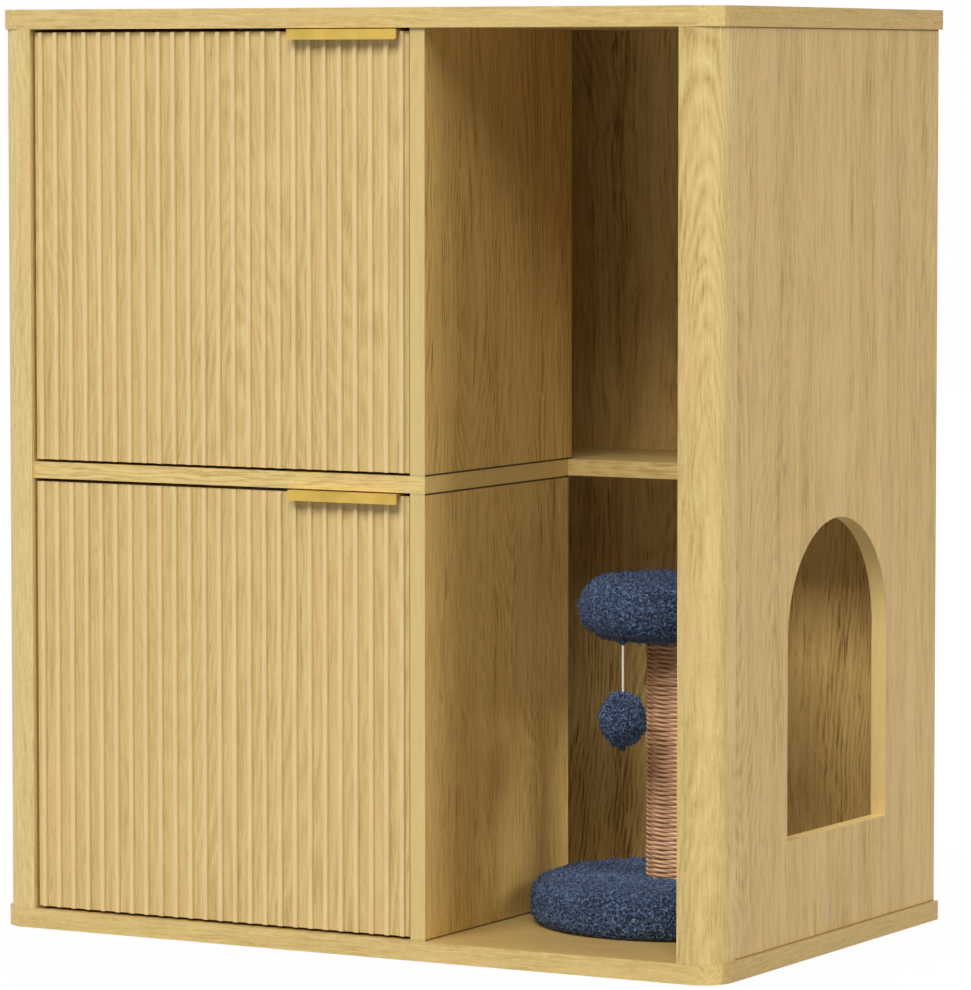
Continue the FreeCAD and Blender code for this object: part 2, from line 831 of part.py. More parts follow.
def hinge_link(tag, level):
    """A bent steel link: it leaves the arm's slot, passes behind the door's edge, dips into the cup."""
    thick = size("link_thickness")
    half = thick / 2
    tall = size("link_height")
    low = level - tall / 2
    rise = size("link_rise")
    drop = pivot_y - door_back + size("cup_depth") - size("cup_wall") - size("link_tip_lift")
    span = cup_x + size("cup_radius") - size("cup_wall") - size("link_tip_room") - half - pivot_x
    body = new_body(f"link_strip_{tag}", (pivot_x - half, pivot_y - drop, low))
    plan = new_sketch(body, f"link_plan_{tag}", "XY_Plane")
    far = span + half
    polygon(plan, [
        (0, drop), (thick, drop), (thick, drop + rise - thick), (far - thick, drop + rise - thick),
        (far - thick, 0), (far, 0), (far, drop + rise), (0, drop + rise),
    ])
    pad(body, f"link_pad_{tag}", plan, tall)
    eye = rod(f"link_eye_{tag}", (pivot_x, pivot_y, low), size("link_eye_radius"), tall)
    bore = rod(f"link_bore_{tag}", (pivot_x, pivot_y, low),
               size("hinge_pin_radius") + size("pin_clearance"), tall)
    return cut(f"link_{tag}", fuse(f"link_blank_{tag}", [body, eye]), [bore])


def hinge_cup(tag, level):
    """A pressed cup in the door's back, with a rim and two ears that are screwed to the door."""
    wall = size("cup_wall")
    thin = size("flange_thickness")
    floor_y = door_back - size("cup_depth")
    shell = rod(f"cup_shell_{tag}", (cup_x, floor_y, level), size("cup_radius"), size("cup_depth") + thin, "Y")
    rim = rod(f"cup_rim_{tag}", (cup_x, door_back, level), size("cup_radius") + size("flange_lip"), thin, "Y")
    ears = box(f"cup_ears_{tag}",
               (cup_x - size("flange_width") / 2, door_back, level - size("flange_height") / 2),
               (size("flange_width"), thin, size("flange_height")))
    hollow = rod(f"cup_hollow_{tag}", (cup_x, floor_y + wall, level), size("cup_radius") - wall,
                 size("cup_depth") + thin, "Y")
    pocket = rod(f"cup_pocket_{tag}", (cup_x, floor_y, level), size("cup_radius") + size("cup_clearance"),
                 size("cup_depth"), "Y")
    return drilled(f"cup_{tag}", fuse(f"cup_blank_{tag}", [shell, rim, ears]), [hollow]), pocket


# ---------------------------------------------------------------- doors and what rides on them


def ribbed_board(label, low, tall):
    """A door board with upright ribs that stand proud of its face."""
    rib_height = size("rib_height")
    gaps = whole_part((door_width - size("rib_width")) / size("rib_pitch"))
    body = new_body(label + "_blank", (door_left, door_front, low))
    plan = new_sketch(body, label + "_plan", "XY_Plane")
    polygon(plan, [(0, rib_height), (door_width, rib_height), (door_width, door_thickness), (0, door_thickness)])
    pad(body, label + "_core", plan, tall)
    span = size("rib_pitch") * gaps
    first = (door_width - span) / 2
    half = size("rib_width") / 2
    slope = size("rib_side_slope")
    rib_plan = new_sketch(body, label + "_rib_plan", "XY_Plane")
    polygon(rib_plan, [(first - half + slope, 0), (first + half - slope, 0),
                       (first + half, rib_height), (first - half, rib_height)])
    rib = pad(body, label + "_rib", rib_plan, tall)
    ribs = body.newObject("PartDesign::LinearPattern", label + "_ribs")
    ribs.Originals = [rib]
    ribs.Direction = (rib_plan, ["H_Axis"])
    bind(ribs, "Length", span)
    bind(ribs, "Occurrences", gaps + 1)
    body.Tip = ribs
    doc.recompute()
    return body


def edge_pull(label, door_top):
    """An angle of sheet brass: a plate on the door's top edge and a lip that hangs before its face."""
    wall = size("pull_wall")
    reach_out = size("handle_overhang") + size("front_setback")
    low = door_top + wall - size("pull_drop")
    body = new_body(label + "_blank", (pull_left, door_front - reach_out, low))
    side = new_sketch(body, label + "_side", "YZ_Plane")
    top = size("pull_drop")
    plate_end = reach_out + size("pull_seat_depth")
    polygon(side, [(0, 0), (wall, 0), (wall, top - wall), (plate_end, top - wall), (plate_end, top), (0, top)])
    angle = pad(body, label + "_pad", side, size("pull_length"))
    corners = []
    for number, edge in enumerate(angle.Shape.Edges, start=1):
        start, end = edge.Vertexes[0].Point, edge.Vertexes[-1].Point
        low_edge = abs(start.z) < SAME_PLACE and abs(end.z) < SAME_PLACE
        if low_edge and abs(start.x - end.x) < SAME_PLACE:
            corners.append(f"Edge{number}")
    rounding = body.newObject("PartDesign::Fillet", label + "_round")
    rounding.Base = (angle, corners)
    bind(rounding, "Radius", size("pull_corner_radius"))
    doc.recompute()
    return body


catches = []
magnets = []
for name, (floor, ceiling) in DOORWAYS.items():
    door_low, door_top = door_levels(name)
    cups, pockets, links = [], [], []
    for number, level in enumerate(hinge_levels(name)):
        cup, pocket = hinge_cup(f"{name}_{number}", level)
        cups.append(cup)
        pockets.append(pocket)
        links.append(hinge_link(f"{name}_{number}", level))
    keep(group(f"{name}_hinge_cups", cups))
    keep(group(f"{name}_hinge_links", links))
    keep(drilled(f"{name}_door", ribbed_board(f"{name}_door", door_low, door_top - door_low), pockets))
    keep(drilled(f"{name}_handle", edge_pull(f"{name}_handle", door_top)))

    strike_low = door_top - size("strike_drop") - size("strike_height")
    strike = box(f"{name}_strike_blank", (strike_x, door_back, strike_low),
                 (size("strike_width"), size("strike_thickness"), size("strike_height")))
    keep(drilled(f"{name}_strike_plate", strike))

    case_low = ceiling - size("catch_height")
    case = box(f"{name}_catch_case", (catch_x, catch_front, case_low),
               (size("catch_width"), size("catch_depth"), size("catch_height")))
    ears = box(f"{name}_catch_ears", (catch_x - ear, catch_front, ceiling - size("catch_ear_height")),
               (size("catch_width") + ear * 2, size("catch_depth"), size("catch_ear_height")))
    magnet_spot = (catch_x + size("magnet_inset"), magnet_front, case_low + size("magnet_inset"))
    magnet_extent = (size("catch_width") - size("magnet_inset") * 2, size("magnet_depth"), size("magnet_height"))
    magnet_room = box(f"{name}_magnet_room", magnet_spot, magnet_extent)
    catches.append(drilled(f"{name}_catch", fuse(f"{name}_catch_blank", [case, ears]), [magnet_room]))
    magnets.append(box(f"{name}_magnet", magnet_spot, magnet_extent))
keep(group("catch_cases", catches))
keep(group("catch_magnets", magnets))

# ---------------------------------------------------------------- scratching post


def rounded_disc(label, low, radius, tall, top_round, foot_round):
    """A solid disc with rounded upper and lower rims, turned about the scratching post's middle."""
    body = new_body(label, (post_x, post_y, low))
    sketch = new_sketch(body, label + "_profile", "XZ_Plane")
    radius, tall, top_round, foot_round = map(as_size, (radius, tall, top_round, foot_round))

    def at(across, up):
        return FreeCAD.Vector(as_size(across).value, as_size(up).value, 0)

    def arc(middle, round_radius, start, end):
        circle = Part.Circle(middle, FreeCAD.Vector(0, 0, 1), round_radius.value)
        return sketch.addGeometry(Part.ArcOfCircle(circle, start, end), False)

    def line(start, end):
        return sketch.addGeometry(Part.LineSegment(start, end), False)

    foot_x, top_x, top_z = radius - foot_round, radius - top_round, tall - top_round
    floor_line = line(at(0, 0), at(foot_x, 0))
    foot = arc(at(foot_x, foot_round), foot_round, -math.pi / 2, 0)
    wall_line = line(at(radius, foot_round), at(radius, top_z))
    head = arc(at(top_x, top_z), top_round, 0, math.pi / 2)
    roof_line = line(at(top_x, tall), at(0, tall))
    axis_line = line(at(0, tall), at(0, 0))
    chain = [floor_line, foot, wall_line, head, roof_line, axis_line]
    for piece, following in zip(chain, chain[1:] + chain[:1]):
        sketch.addConstraint(Sketcher.Constraint("Coincident", piece, 2, following, 1))
    pin_point(sketch, floor_line, 1, 0, 0)
    pin_point(sketch, floor_line, 2, foot_x, 0)
    pin_point(sketch, foot, 3, foot_x, foot_round)
    pin_along(sketch, "DistanceY", wall_line, 1, foot_round)
    pin_point(sketch, wall_line, 2, radius, top_z)
    pin_point(sketch, head, 3, top_x, top_z)
    pin_along(sketch, "DistanceX", roof_line, 1, top_x)
    pin_point(sketch, roof_line, 2, 0, tall)
    turn = body.newObject("PartDesign::Revolution", label + "_turn")
    turn.Profile = sketch
    turn.ReferenceAxis = (sketch, ["V_Axis"])
    turn.Angle = FULL_TURN
    sketch.Visibility = False
    doc.recompute()
    return body


def post_rod(label, low, radius, tall):
    return rod(label, (post_x, post_y, low), radius, tall)


plush = size("plush_wall")
core_wide = size("core_radius") + size("core_clearance")
base_top = inner_bottom + size("base_height")
core_length = platform_board_low - base_board_top
platform_top = platform_bottom + size("platform_height")

# Base: a round board on the bottom panel, foam over it, plush drawn over both.
base_board = post_rod("base_board_disc", inner_bottom, base_board_radius, size("base_board_thickness"))
keep(drilled("base_board", base_board))
base_outer = rounded_disc("base_outer", inner_bottom, base_radius, size("base_height"),
                          size("base_top_round"), size("base_foot_round"))
base_inner = rounded_disc("base_inner", inner_bottom, base_radius - plush, size("base_height") - plush,
                          size("base_top_round") - plush, size("base_foot_round") - plush)
base_bore = post_rod("base_bore", base_board_top, core_wide, size("base_height"))
board_room = post_rod("base_board_room", inner_bottom, base_board_radius, size("base_board_thickness"))
keep(cut("base_foam", base_inner, [board_room, base_bore]))
keep(cut("base_plush", base_outer, [base_inner, base_bore]))

# Post: a fibre tube with a wooden plug in each end, wound with rope.
core_outer = post_rod("core_outer", base_board_top, size("core_radius"), core_length)
core_hollow = post_rod("core_hollow", base_board_top, size("core_radius") - size("core_wall"), core_length)
keep(cut("core_tube", core_outer, [core_hollow]))
plug_radius = size("core_radius") - size("core_wall") - size("end_plug_clearance")
lower_plug = drilled("lower_plug", post_rod("lower_plug_blank", base_board_top, plug_radius, plug))
upper_plug = drilled("upper_plug", post_rod("upper_plug_blank", platform_board_low - plug, plug_radius, plug))
keep(group("core_end_plugs", [lower_plug, upper_plug]))
rope_outer = post_rod("rope_outer", base_top, size("rope_radius"), platform_bottom - base_top)
rope_inner = post_rod("rope_inner", base_top, size("core_radius"), platform_bottom - base_top)
keep(cut("sisal_rope", rope_outer, [rope_inner]))

# Platform: a round board on the post, foam round it, plush over all.
tie_x = post_x - size("string_from_post_left")
tie_y = post_y - size("string_from_post_front")
tie_hole = rod("tie_hole", (tie_x, tie_y, platform_bottom), size("string_radius") + size("string_clearance"),
               size("platform_board_rise"))
platform_disc = post_rod("platform_board_disc", platform_board_low, platform_board_radius,
                         size("platform_board_thickness"))
keep(drilled("platform_board", platform_disc))
platform_outer = rounded_disc("platform_outer", platform_bottom, size("platform_radius"),
                              size("platform_height"), size("platform_round"), size("platform_round"))
platform_inner = rounded_disc("platform_inner", platform_bottom + plush, size("platform_radius") - plush,
                              size("platform_height") - plush * 2, size("platform_round") - plush,
                              size("platform_round") - plush)
platform_bore = post_rod("platform_bore", platform_bottom, core_wide, size("platform_board_rise"))
platform_room = post_rod("platform_board_room", platform_board_low, platform_board_radius,
                         size("platform_board_thickness"))
keep(drilled("platform_foam", platform_inner, [platform_room, platform_bore, tie_hole]))
keep(cut("platform_plush", platform_outer, [platform_inner, platform_bore, tie_hole]))

# ---------------------------------------------------------------- hanging ball

tie_thread = rod("tie_thread", (tie_x, tie_y, platform_bottom), size("string_radius"),
                 size("platform_board_rise"))
tie_knot = ball("tie_knot", (tie_x, tie_y, platform_bottom), size("tie_radius"))
keep(fuse("string_tie", [tie_thread, tie_knot]))

ball_z = size("ball_middle_height")
half_ball = size("ball_half_height")
knot_z = ball_z - half_ball - size("knot_radius") - size("knot_gap")
string_top = platform_bottom - size("tie_radius") - size("tie_gap")
string_wide = size("string_radius") + size("string_clearance")
keep(rod("toy_string", (tie_x, tie_y, knot_z), size("string_radius"), string_top - knot_z))
string_hole = rod("string_hole", (tie_x, tie_y, knot_z), string_wide, string_top - knot_z)
toy = doc.addObject("Part::Ellipsoid", "toy_ball_blank")
toy.Label = "toy_ball_blank"
bind(toy, "Radius1", half_ball)
bind(toy, "Radius2", size("ball_radius"))
bind(toy, "Radius3", size("ball_radius"))
place(toy, (tie_x, tie_y, ball_z))
keep(cut("toy_ball", toy, [string_hole]))
keep(cut("toy_knot", ball("toy_knot_blank", (tie_x, tie_y, knot_z), size("knot_radius")), [string_hole]))

# ---------------------------------------------------------------- checks and files

doc.recompute()
for item in doc.Objects:
    states = [state for state in item.State if state in ("Invalid", "Error")]
    assert not states, f"{item.Label}: {states}"

os.makedirs("parts", exist_ok=True)
for label, item in nodes.items():
    shape = item.Shape
    assert not shape.isNull() and shape.isValid() and shape.Solids, f"{label} is not a valid solid"
    shape.exportStep(f"parts/{label}.step")
    print(f"{label}: {len(shape.Solids)} solids, {shape.Volume / 1000:.1f} cm3")
print(len(nodes), "nodes")

door_axis = (door_left + size("hinge_axis_from_edge"), door_front + size("hinge_axis_from_face"))
print("door axis", [length.value for length in door_axis])
print("link axis", pivot_x.value, pivot_y.value)
print("string pivot", tie_x.value, tie_y.value, platform_bottom.value)
for name in DOORWAYS:
    print(name, "hinges at", [level.value for level in hinge_levels(name)])
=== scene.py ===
# %% [markdown]
# # A cat litter box cabinet
# The real object is an oak board cabinet: two ribbed doors on the left, an open bay with a
# scratching post on the right, and an arched way in through the right side board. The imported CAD
# model already has every board, hinge and screw in its right place, so this lesson loads it, gives
# it wood, metal and plastic, and builds the soft pieces that a solid modeller can't show: plush
# pile, wound rope and a string. Lengths are metres, +Z is up and +Y is the cabinet's back.

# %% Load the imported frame
import math

import bmesh
import bpy
import numpy as np
from mathutils import Matrix, Vector, noise


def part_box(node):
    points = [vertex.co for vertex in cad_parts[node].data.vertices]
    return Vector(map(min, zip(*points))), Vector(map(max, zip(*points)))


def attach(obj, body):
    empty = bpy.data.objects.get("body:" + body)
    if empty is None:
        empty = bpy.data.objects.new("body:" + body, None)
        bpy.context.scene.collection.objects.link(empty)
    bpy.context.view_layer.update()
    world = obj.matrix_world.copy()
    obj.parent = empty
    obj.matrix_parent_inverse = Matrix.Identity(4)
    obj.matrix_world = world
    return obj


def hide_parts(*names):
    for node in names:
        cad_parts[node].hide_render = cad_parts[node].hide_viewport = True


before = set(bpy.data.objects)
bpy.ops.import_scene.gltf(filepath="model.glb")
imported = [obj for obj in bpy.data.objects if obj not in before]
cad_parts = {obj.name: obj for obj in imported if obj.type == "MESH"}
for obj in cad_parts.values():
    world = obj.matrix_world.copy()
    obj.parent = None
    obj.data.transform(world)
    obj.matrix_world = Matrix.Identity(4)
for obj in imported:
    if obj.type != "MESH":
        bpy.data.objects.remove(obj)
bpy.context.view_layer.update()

# %% [markdown]
# The camera stands where the photograph was taken from: well to the right, a little above the
# middle of the cabinet, with a long lens, so upright edges stay almost upright. A short lens close
# by would make the near post bulge. Place and angles come from the cabinet's own straight edges.

# %% Camera
IMAGE_WIDTH = 971
FOCAL_PIXELS = 5678.144
SENSOR_WIDTH = 36.0
CAMERA_PLACE = (2.580133, -4.590006, 0.790089)
CAMERA_YAW = 29.169
CAMERA_PITCH = -4.23

camera_data = bpy.data.cameras.new("photo_camera")
camera_data.sensor_fit = "HORIZONTAL"
camera_data.sensor_width = SENSOR_WIDTH
camera_data.lens = FOCAL_PIXELS / IMAGE_WIDTH * SENSOR_WIDTH
camera = bpy.data.objects.new("photo_camera", camera_data)
camera.location = CAMERA_PLACE
camera.rotation_euler = (math.radians(90 + CAMERA_PITCH), 0, math.radians(CAMERA_YAW))
bpy.context.scene.collection.objects.link(camera)
bpy.context.scene.camera = camera
print("lens", round(camera_data.lens, 2))

# %% [markdown]
# The ball hangs on a short cotton string that its weight pulls straight, so its route is one
# straight smooth line: from the tie under the platform, down through the ball, to the knot below.
# The route is a NURBS curve, and its points say where the string lies.

# %% The string's route
STRING_TOP = Vector((0.205, -0.0805, 0.27735))
STRING_BOTTOM_Z = 0.1839
STRING_THICKNESS = 0.0022
STRING_LENGTH = STRING_TOP.z - STRING_BOTTOM_Z


def route_points(name, stops):
    """Points along a smooth NURBS line through the given stops, which is removed again."""
    curve = bpy.data.curves.new(name, "CURVE")
    curve.dimensions = "3D"
    line = curve.splines.new("NURBS")
    line.points.add(len(stops) - 1)
    for point, stop in zip(line.points, stops):
        point.co = (*stop, 1)
    line.order_u = 3
    line.use_endpoint_u = True
    holder = bpy.data.objects.new(name, curve)
    bpy.context.scene.collection.objects.link(holder)
    depsgraph = bpy.context.evaluated_depsgraph_get()
    mesh = bpy.data.meshes.new_from_object(holder.evaluated_get(depsgraph))
    points = [tuple(vertex.co) for vertex in mesh.vertices]
    bpy.data.objects.remove(holder)
    bpy.data.curves.remove(curve)
    bpy.data.meshes.remove(mesh)
    return points


string_levels = np.linspace(STRING_TOP.z, STRING_BOTTOM_Z, 5)
string_path = route_points("string_route", [(*STRING_TOP.xy, level) for level in string_levels])
print("string length", round(STRING_LENGTH, 4), "route points", len(string_path))

# %% [markdown]
# New pieces start as a bmesh and are finished by operators or by a modifier. Two small helpers
# serve them: one turns a bmesh into an object of the scene, and the other keeps what a modifier
# shows as the piece's own mesh.

# %% From bmesh to finished piece
def mesh_object(name, shape):
    """A finished bmesh as an object of the scene, with smooth shading."""
    data = bpy.data.meshes.new(name)
    shape.to_mesh(data)
    shape.free()
    data.shade_smooth()
    piece = bpy.data.objects.new(name, data)
    bpy.context.scene.collection.objects.link(piece)
    return piece


def keep_modified(piece):
    """Makes what the modifiers show the piece's own mesh."""
    depsgraph = bpy.context.evaluated_depsgraph_get()
    result = bpy.data.meshes.new_from_object(piece.evaluated_get(depsgraph))
    piece.modifiers.clear()
    old, piece.data = piece.data, result
    bpy.data.meshes.remove(old)


print("piece helpers ready")

# %% [markdown]
# The string itself is laid from three strands. A ring with three lobes rises along the route while
# it turns, which is what the Screw modifier does, and the twist is then plain to see up close. A
# curve with a round bevel would be a bare wire.

# %% The string
STRING_SIDES = 12
STRING_TURNS = 14
STEPS_PER_TURN = 18
STRANDS = 3
LOBE_DEPTH = 0.14


def screwed(piece, angle, rise, steps, iterations=1):
    """Sweeps a ring about Z with the Screw modifier."""
    screw = piece.modifiers.new("screw", "SCREW")
    screw.axis = "Z"
    screw.angle = angle
    screw.screw_offset = rise
    screw.steps = screw.render_steps = steps
    screw.iterations = iterations
    keep_modified(piece)


def close_ends(piece, sides):
    """Fills the open rings at both ends of a tube and turns every face outwards."""
    shape = bmesh.new()
    shape.from_mesh(piece.data)
    bmesh.ops.holes_fill(shape, edges=[edge for edge in shape.edges if edge.is_boundary], sides=sides)
    bmesh.ops.recalc_face_normals(shape, faces=shape.faces)
    shape.to_mesh(piece.data)
    shape.free()


def laid_string(name, top, length, thickness):
    """A twisted string that hangs straight down from its top."""
    ring = bmesh.new()
    bmesh.ops.create_circle(ring, segments=STRING_SIDES, radius=thickness / 2)
    for point in ring.verts:
        lobe = math.cos(STRANDS * math.atan2(point.co.y, point.co.x))
        widening = (1 + LOBE_DEPTH * lobe) / (1 + LOBE_DEPTH)
        bmesh.ops.scale(ring, vec=(widening,) * 3, verts=[point])
    piece = mesh_object(name, ring)
    screwed(piece, 2 * math.pi * STRING_TURNS, length, STEPS_PER_TURN * STRING_TURNS)
    piece.data.transform(Matrix.Translation((top.x, top.y, top.z - length)))
    close_ends(piece, STRING_SIDES)
    return piece


string = laid_string("toy_string_cord", STRING_TOP, STRING_LENGTH, STRING_THICKNESS)
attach(string, "hanging_toy")
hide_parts("toy_string")
print("string", len(string.data.vertices), "points")

# %% [markdown]
# ## Light
# The cabinet stands in a white studio. Its front and its side are evenly lit from top to bottom,
# the bay is dark under the top panel and brighter at its foot, and only a faint shadow lies on the
# floor. The world adds almost nothing, or the bay's corner would turn grey. What the camera,
# mirrors and glass see of it is plain white, and what lights the cabinet is a weak fill.

# %% World
WORLD_FILL = 0.03


def set_inputs(tree, node, inputs):
    """Sets a node's inputs to numbers and colours, or links them to sockets."""
    for slot, term in inputs.items():
        if isinstance(term, bpy.types.NodeSocket):
            tree.links.new(term, node.inputs[slot])
        else:
            node.inputs[slot].default_value = term


def add_node(tree, kind, inputs, **settings):
    """A new shader node with its settings and inputs."""
    node = tree.nodes.new("ShaderNode" + kind)
    for name, value in settings.items():
        setattr(node, name, value)
    set_inputs(tree, node, inputs)
    return node


def arithmetic(tree, operation, *terms):
    """A Math node whose inputs are sockets or plain numbers."""
    return add_node(tree, "Math", dict(enumerate(terms)), operation=operation).outputs[0]


def white_when_seen(tree, lit, white, camera_share=1.0):
    """Mixes in the white shader for mirrors and glass, and for the camera by its share."""
    path = add_node(tree, "LightPath", {}).outputs
    mirrored = arithmetic(tree, "MAXIMUM", path["Is Glossy Ray"], path["Is Transmission Ray"])
    by_camera = arithmetic(tree, "MULTIPLY", path["Is Camera Ray"], camera_share)
    share = arithmetic(tree, "MAXIMUM", by_camera, mirrored)
    return add_node(tree, "MixShader", {0: share, 1: lit.outputs[0], 2: white.outputs[0]}).outputs[0]


world = bpy.data.worlds.new("studio")
world.use_nodes = True
bpy.context.scene.world = world
sky = world.node_tree
fill = sky.nodes["Background"]
set_inputs(sky, fill, {"Color": (1.0, 0.99, 0.975, 1), "Strength": WORLD_FILL})
white_sky = add_node(sky, "Background", {"Color": (1, 1, 1, 1), "Strength": 1.0})
set_inputs(sky, sky.nodes["World Output"], {"Surface": white_when_seen(sky, fill, white_sky)})
print("world fill", WORLD_FILL)

# %% [markdown]
# The light comes from above the front, from the near corner, and from the right for the side,
# through large lamps that are far enough away to light the foot as well as the head. Two weaker
# ones light the left side and the back, which the photograph doesn't show.

# %% Lamps
LAMP_AIM = Vector((0, 0, 0.45))
LAMP_TINT = (1, 0.985, 0.96)


def soft_lamp(name, place, size, watts):
    """A square lamp at place that shines on the middle of the cabinet."""
    lamp = bpy.data.lights.new(name, "AREA")
    lamp.shape = "SQUARE"
    lamp.size = size
    lamp.energy = watts
    lamp.color = LAMP_TINT
    holder = bpy.data.objects.new(name, lamp)
    holder.location = place
    holder.rotation_euler = (LAMP_AIM - Vector(place)).to_track_quat("-Z", "Y").to_euler()
    bpy.context.scene.collection.objects.link(holder)


soft_lamp("key_lamp", (-1.5, -12.6, 13.1), 8.5, 2150)
soft_lamp("corner_lamp", (6.6, -11.8, 12.3), 7.0, 960)
soft_lamp("side_lamp", (15.6, -0.9, 8.8), 7.0, 1600)
soft_lamp("left_lamp", (-16.5, -4.5, 5.5), 7.0, 620)
soft_lamp("back_lamp", (-4.0, 16.0, 8.0), 7.0, 900)
print("lamps:", [lamp.name for lamp in bpy.data.lights])

# %% [markdown]
# The floor is a wide disc just under the bottom panel. What the camera sees of it is mostly plain
# white. Near the cabinet a small share is real shading, so a faint soft shadow lies there, and
# further out that share fades away, so no horizon shows. Its own grey keeps the bounce low.

# %% Floor
FLOOR_RADIUS = 9.0
FLOOR_DROP = 0.0005
FLOOR_GREY = 0.42
FLOOR_GLOW = 1.05
SHADOW_NEAR, SHADOW_FAR = 0.4, 1.3
WHITE_NEAR, WHITE_FAR = 0.9, 1.0


def studio_floor():
    """Matte grey to the light, near white to the camera, plain white to mirrors and glass."""
    paint = bpy.data.materials.new("white_floor")
    paint.use_nodes = True
    tree = paint.node_tree
    matte = tree.nodes["Principled BSDF"]
    set_inputs(tree, matte, {"Base Color": (FLOOR_GREY, FLOOR_GREY, FLOOR_GREY, 1), "Roughness": 0.9})
    glow = add_node(tree, "Emission", {"Strength": FLOOR_GLOW})
    place = add_node(tree, "TexCoord", {}).outputs["Object"]
    away = add_node(tree, "VectorMath", {0: place}, operation="LENGTH").outputs["Value"]
    share = add_node(tree, "MapRange", {"Value": away, "From Min": SHADOW_NEAR, "From Max": SHADOW_FAR,
                                        "To Min": WHITE_NEAR, "To Max": WHITE_FAR})
    seen_floor = white_when_seen(tree, matte, glow, share.outputs["Result"])
    set_inputs(tree, tree.nodes["Material Output"], {"Surface": seen_floor})
    return paint


floor_shape = bmesh.new()
bmesh.ops.create_circle(floor_shape, cap_ends=True, segments=64, radius=FLOOR_RADIUS)
floor = mesh_object("studio_floor", floor_shape)
floor.data.transform(Matrix.Translation((0, 0, -FLOOR_DROP)))
floor.data.materials.append(studio_floor())
print("floor faces", len(floor.data.polygons))

# %% [markdown]
# ## Materials
# Each finish is a small net of nodes on a Principled shader. Colours are written as the eye names
# them, 0 to 255, and turned to the linear numbers that shaders use. A ramp lays colours along a
# pattern, and a blend puts one colour over another.

# %% Colours
def srgb(red, green, blue):
    """A colour of 0 to 255 as linear numbers."""
    def linear(level):
        level /= 255
        return level / 12.92 if level <= 0.04045 else ((level + 0.055) / 1.055) ** 2.4
    return (linear(red), linear(green), linear(blue), 1.0)


def new_material(name):
    """A material with its node tree and its shader."""
    paint = bpy.data.materials.new(name)
    paint.use_nodes = True
    return paint, paint.node_tree, paint.node_tree.nodes["Principled BSDF"]


def ramp(tree, value, stops):
    """A colour ramp through (position, colour) stops."""
    node = add_node(tree, "ValToRGB", {"Fac": value})
    marks = node.color_ramp.elements
    while len(marks) < len(stops):
        marks.new(0.5)
    for mark, (position, color) in zip(marks, stops):
        mark.position = position
        mark.color = color
    return node.outputs["Color"]


def blend_colors(tree, mode, factor, first, second):
    """A Mix node for colours. Its factor and colours are inputs 0, 6 and 7."""
    inputs = {0: factor, 6: first, 7: second}
    return add_node(tree, "Mix", inputs, data_type="RGBA", blend_type=mode).outputs[2]


print("colour helpers ready")

# %% [markdown]
# Patterns are noise on the object's own coordinates, so they run through each piece and stay with
# it when it moves. Stretched coordinates draw noise out into streaks. Wandering coordinates are
# pushed to and fro by a slow noise, so the streaks aren't ruler straight.

# %% Patterns
def own_place(tree):
    """The object's own coordinates, in metres."""
    return add_node(tree, "TexCoord", {}).outputs["Object"]


def stretched(tree, scales, shift=0.0, place=None):
    """Coordinates, scaled on each axis and shifted, so boards differ."""
    inputs = {"Vector": place or own_place(tree), "Scale": scales,
              "Location": (shift, shift * 1.7, shift * 2.3)}
    return add_node(tree, "Mapping", inputs).outputs["Vector"]


def wandering(tree, scales, scale, amount, shift=0.0, place=None):
    """Coordinates that wander to and fro by about the given amount, as grain does."""
    sway = add_node(tree, "TexNoise", {"Vector": stretched(tree, scales, shift, place),
                                       "Scale": scale, "Detail": 1.0}).outputs["Color"]
    push = add_node(tree, "VectorMath", {0: sway, 1: (amount,) * 3, 2: (-amount / 2,) * 3},
                    operation="MULTIPLY_ADD")
    return add_node(tree, "VectorMath", {0: place or own_place(tree), 1: push.outputs[0]}).outputs[0]


def noise_of(tree, vector, scale, detail=3.0, roughness=0.55):
    """A noise from 0 to 1 over the given coordinates."""
    inputs = {"Vector": vector, "Scale": scale, "Detail": detail, "Roughness": roughness}
    return add_node(tree, "TexNoise", inputs).outputs["Fac"]


def bumped(tree, shader, height, strength, distance):
    """Fine relief from a height pattern."""
    bump = add_node(tree, "Bump", {"Height": height, "Strength": strength, "Distance": distance})
    set_inputs(tree, shader, {"Normal": bump.outputs["Normal"]})


print("pattern helpers ready")

# %% [markdown]
# ## Wood
# The boards are chipboard under an oak decor: long fine streaks, slow changes of tone, and here
# and there the pointed arches where a growth ring was cut flat. A photograph would be the usual
# way to paint it, but noise that is stretched along the grain gives streaks at any scale.
#
# The growth rings are contour lines: a slow noise, stretched along the board, is counted in steps,
# so its lines run long and close into a pointed arch over each hill of the noise. Fibres and hair
# lines are finer noises. Flecks are the short, mottled rays that a quartered edge shows. Pores are
# dark dashes. Each layer is small beside the board's own colour.

# %% Oak finish
RING_STEPS = 120
PORE_SHARE = 0.3
BLUSH_SHARE = 0.55


def grain_scales(along, stretch):
    """Scales for the three axes: the stretch along the grain, and 1 across it."""
    return tuple(stretch if axis == along else 1 for axis in "XYZ")


def weighed(tree, layers):
    """0.5 plus each layer's distance from its own middle, times its weight."""
    total = 0.5
    for layer, weight in layers:
        total = arithmetic(tree, "ADD", total, arithmetic(tree, "MULTIPLY_ADD", layer, weight, -weight / 2))
    return total


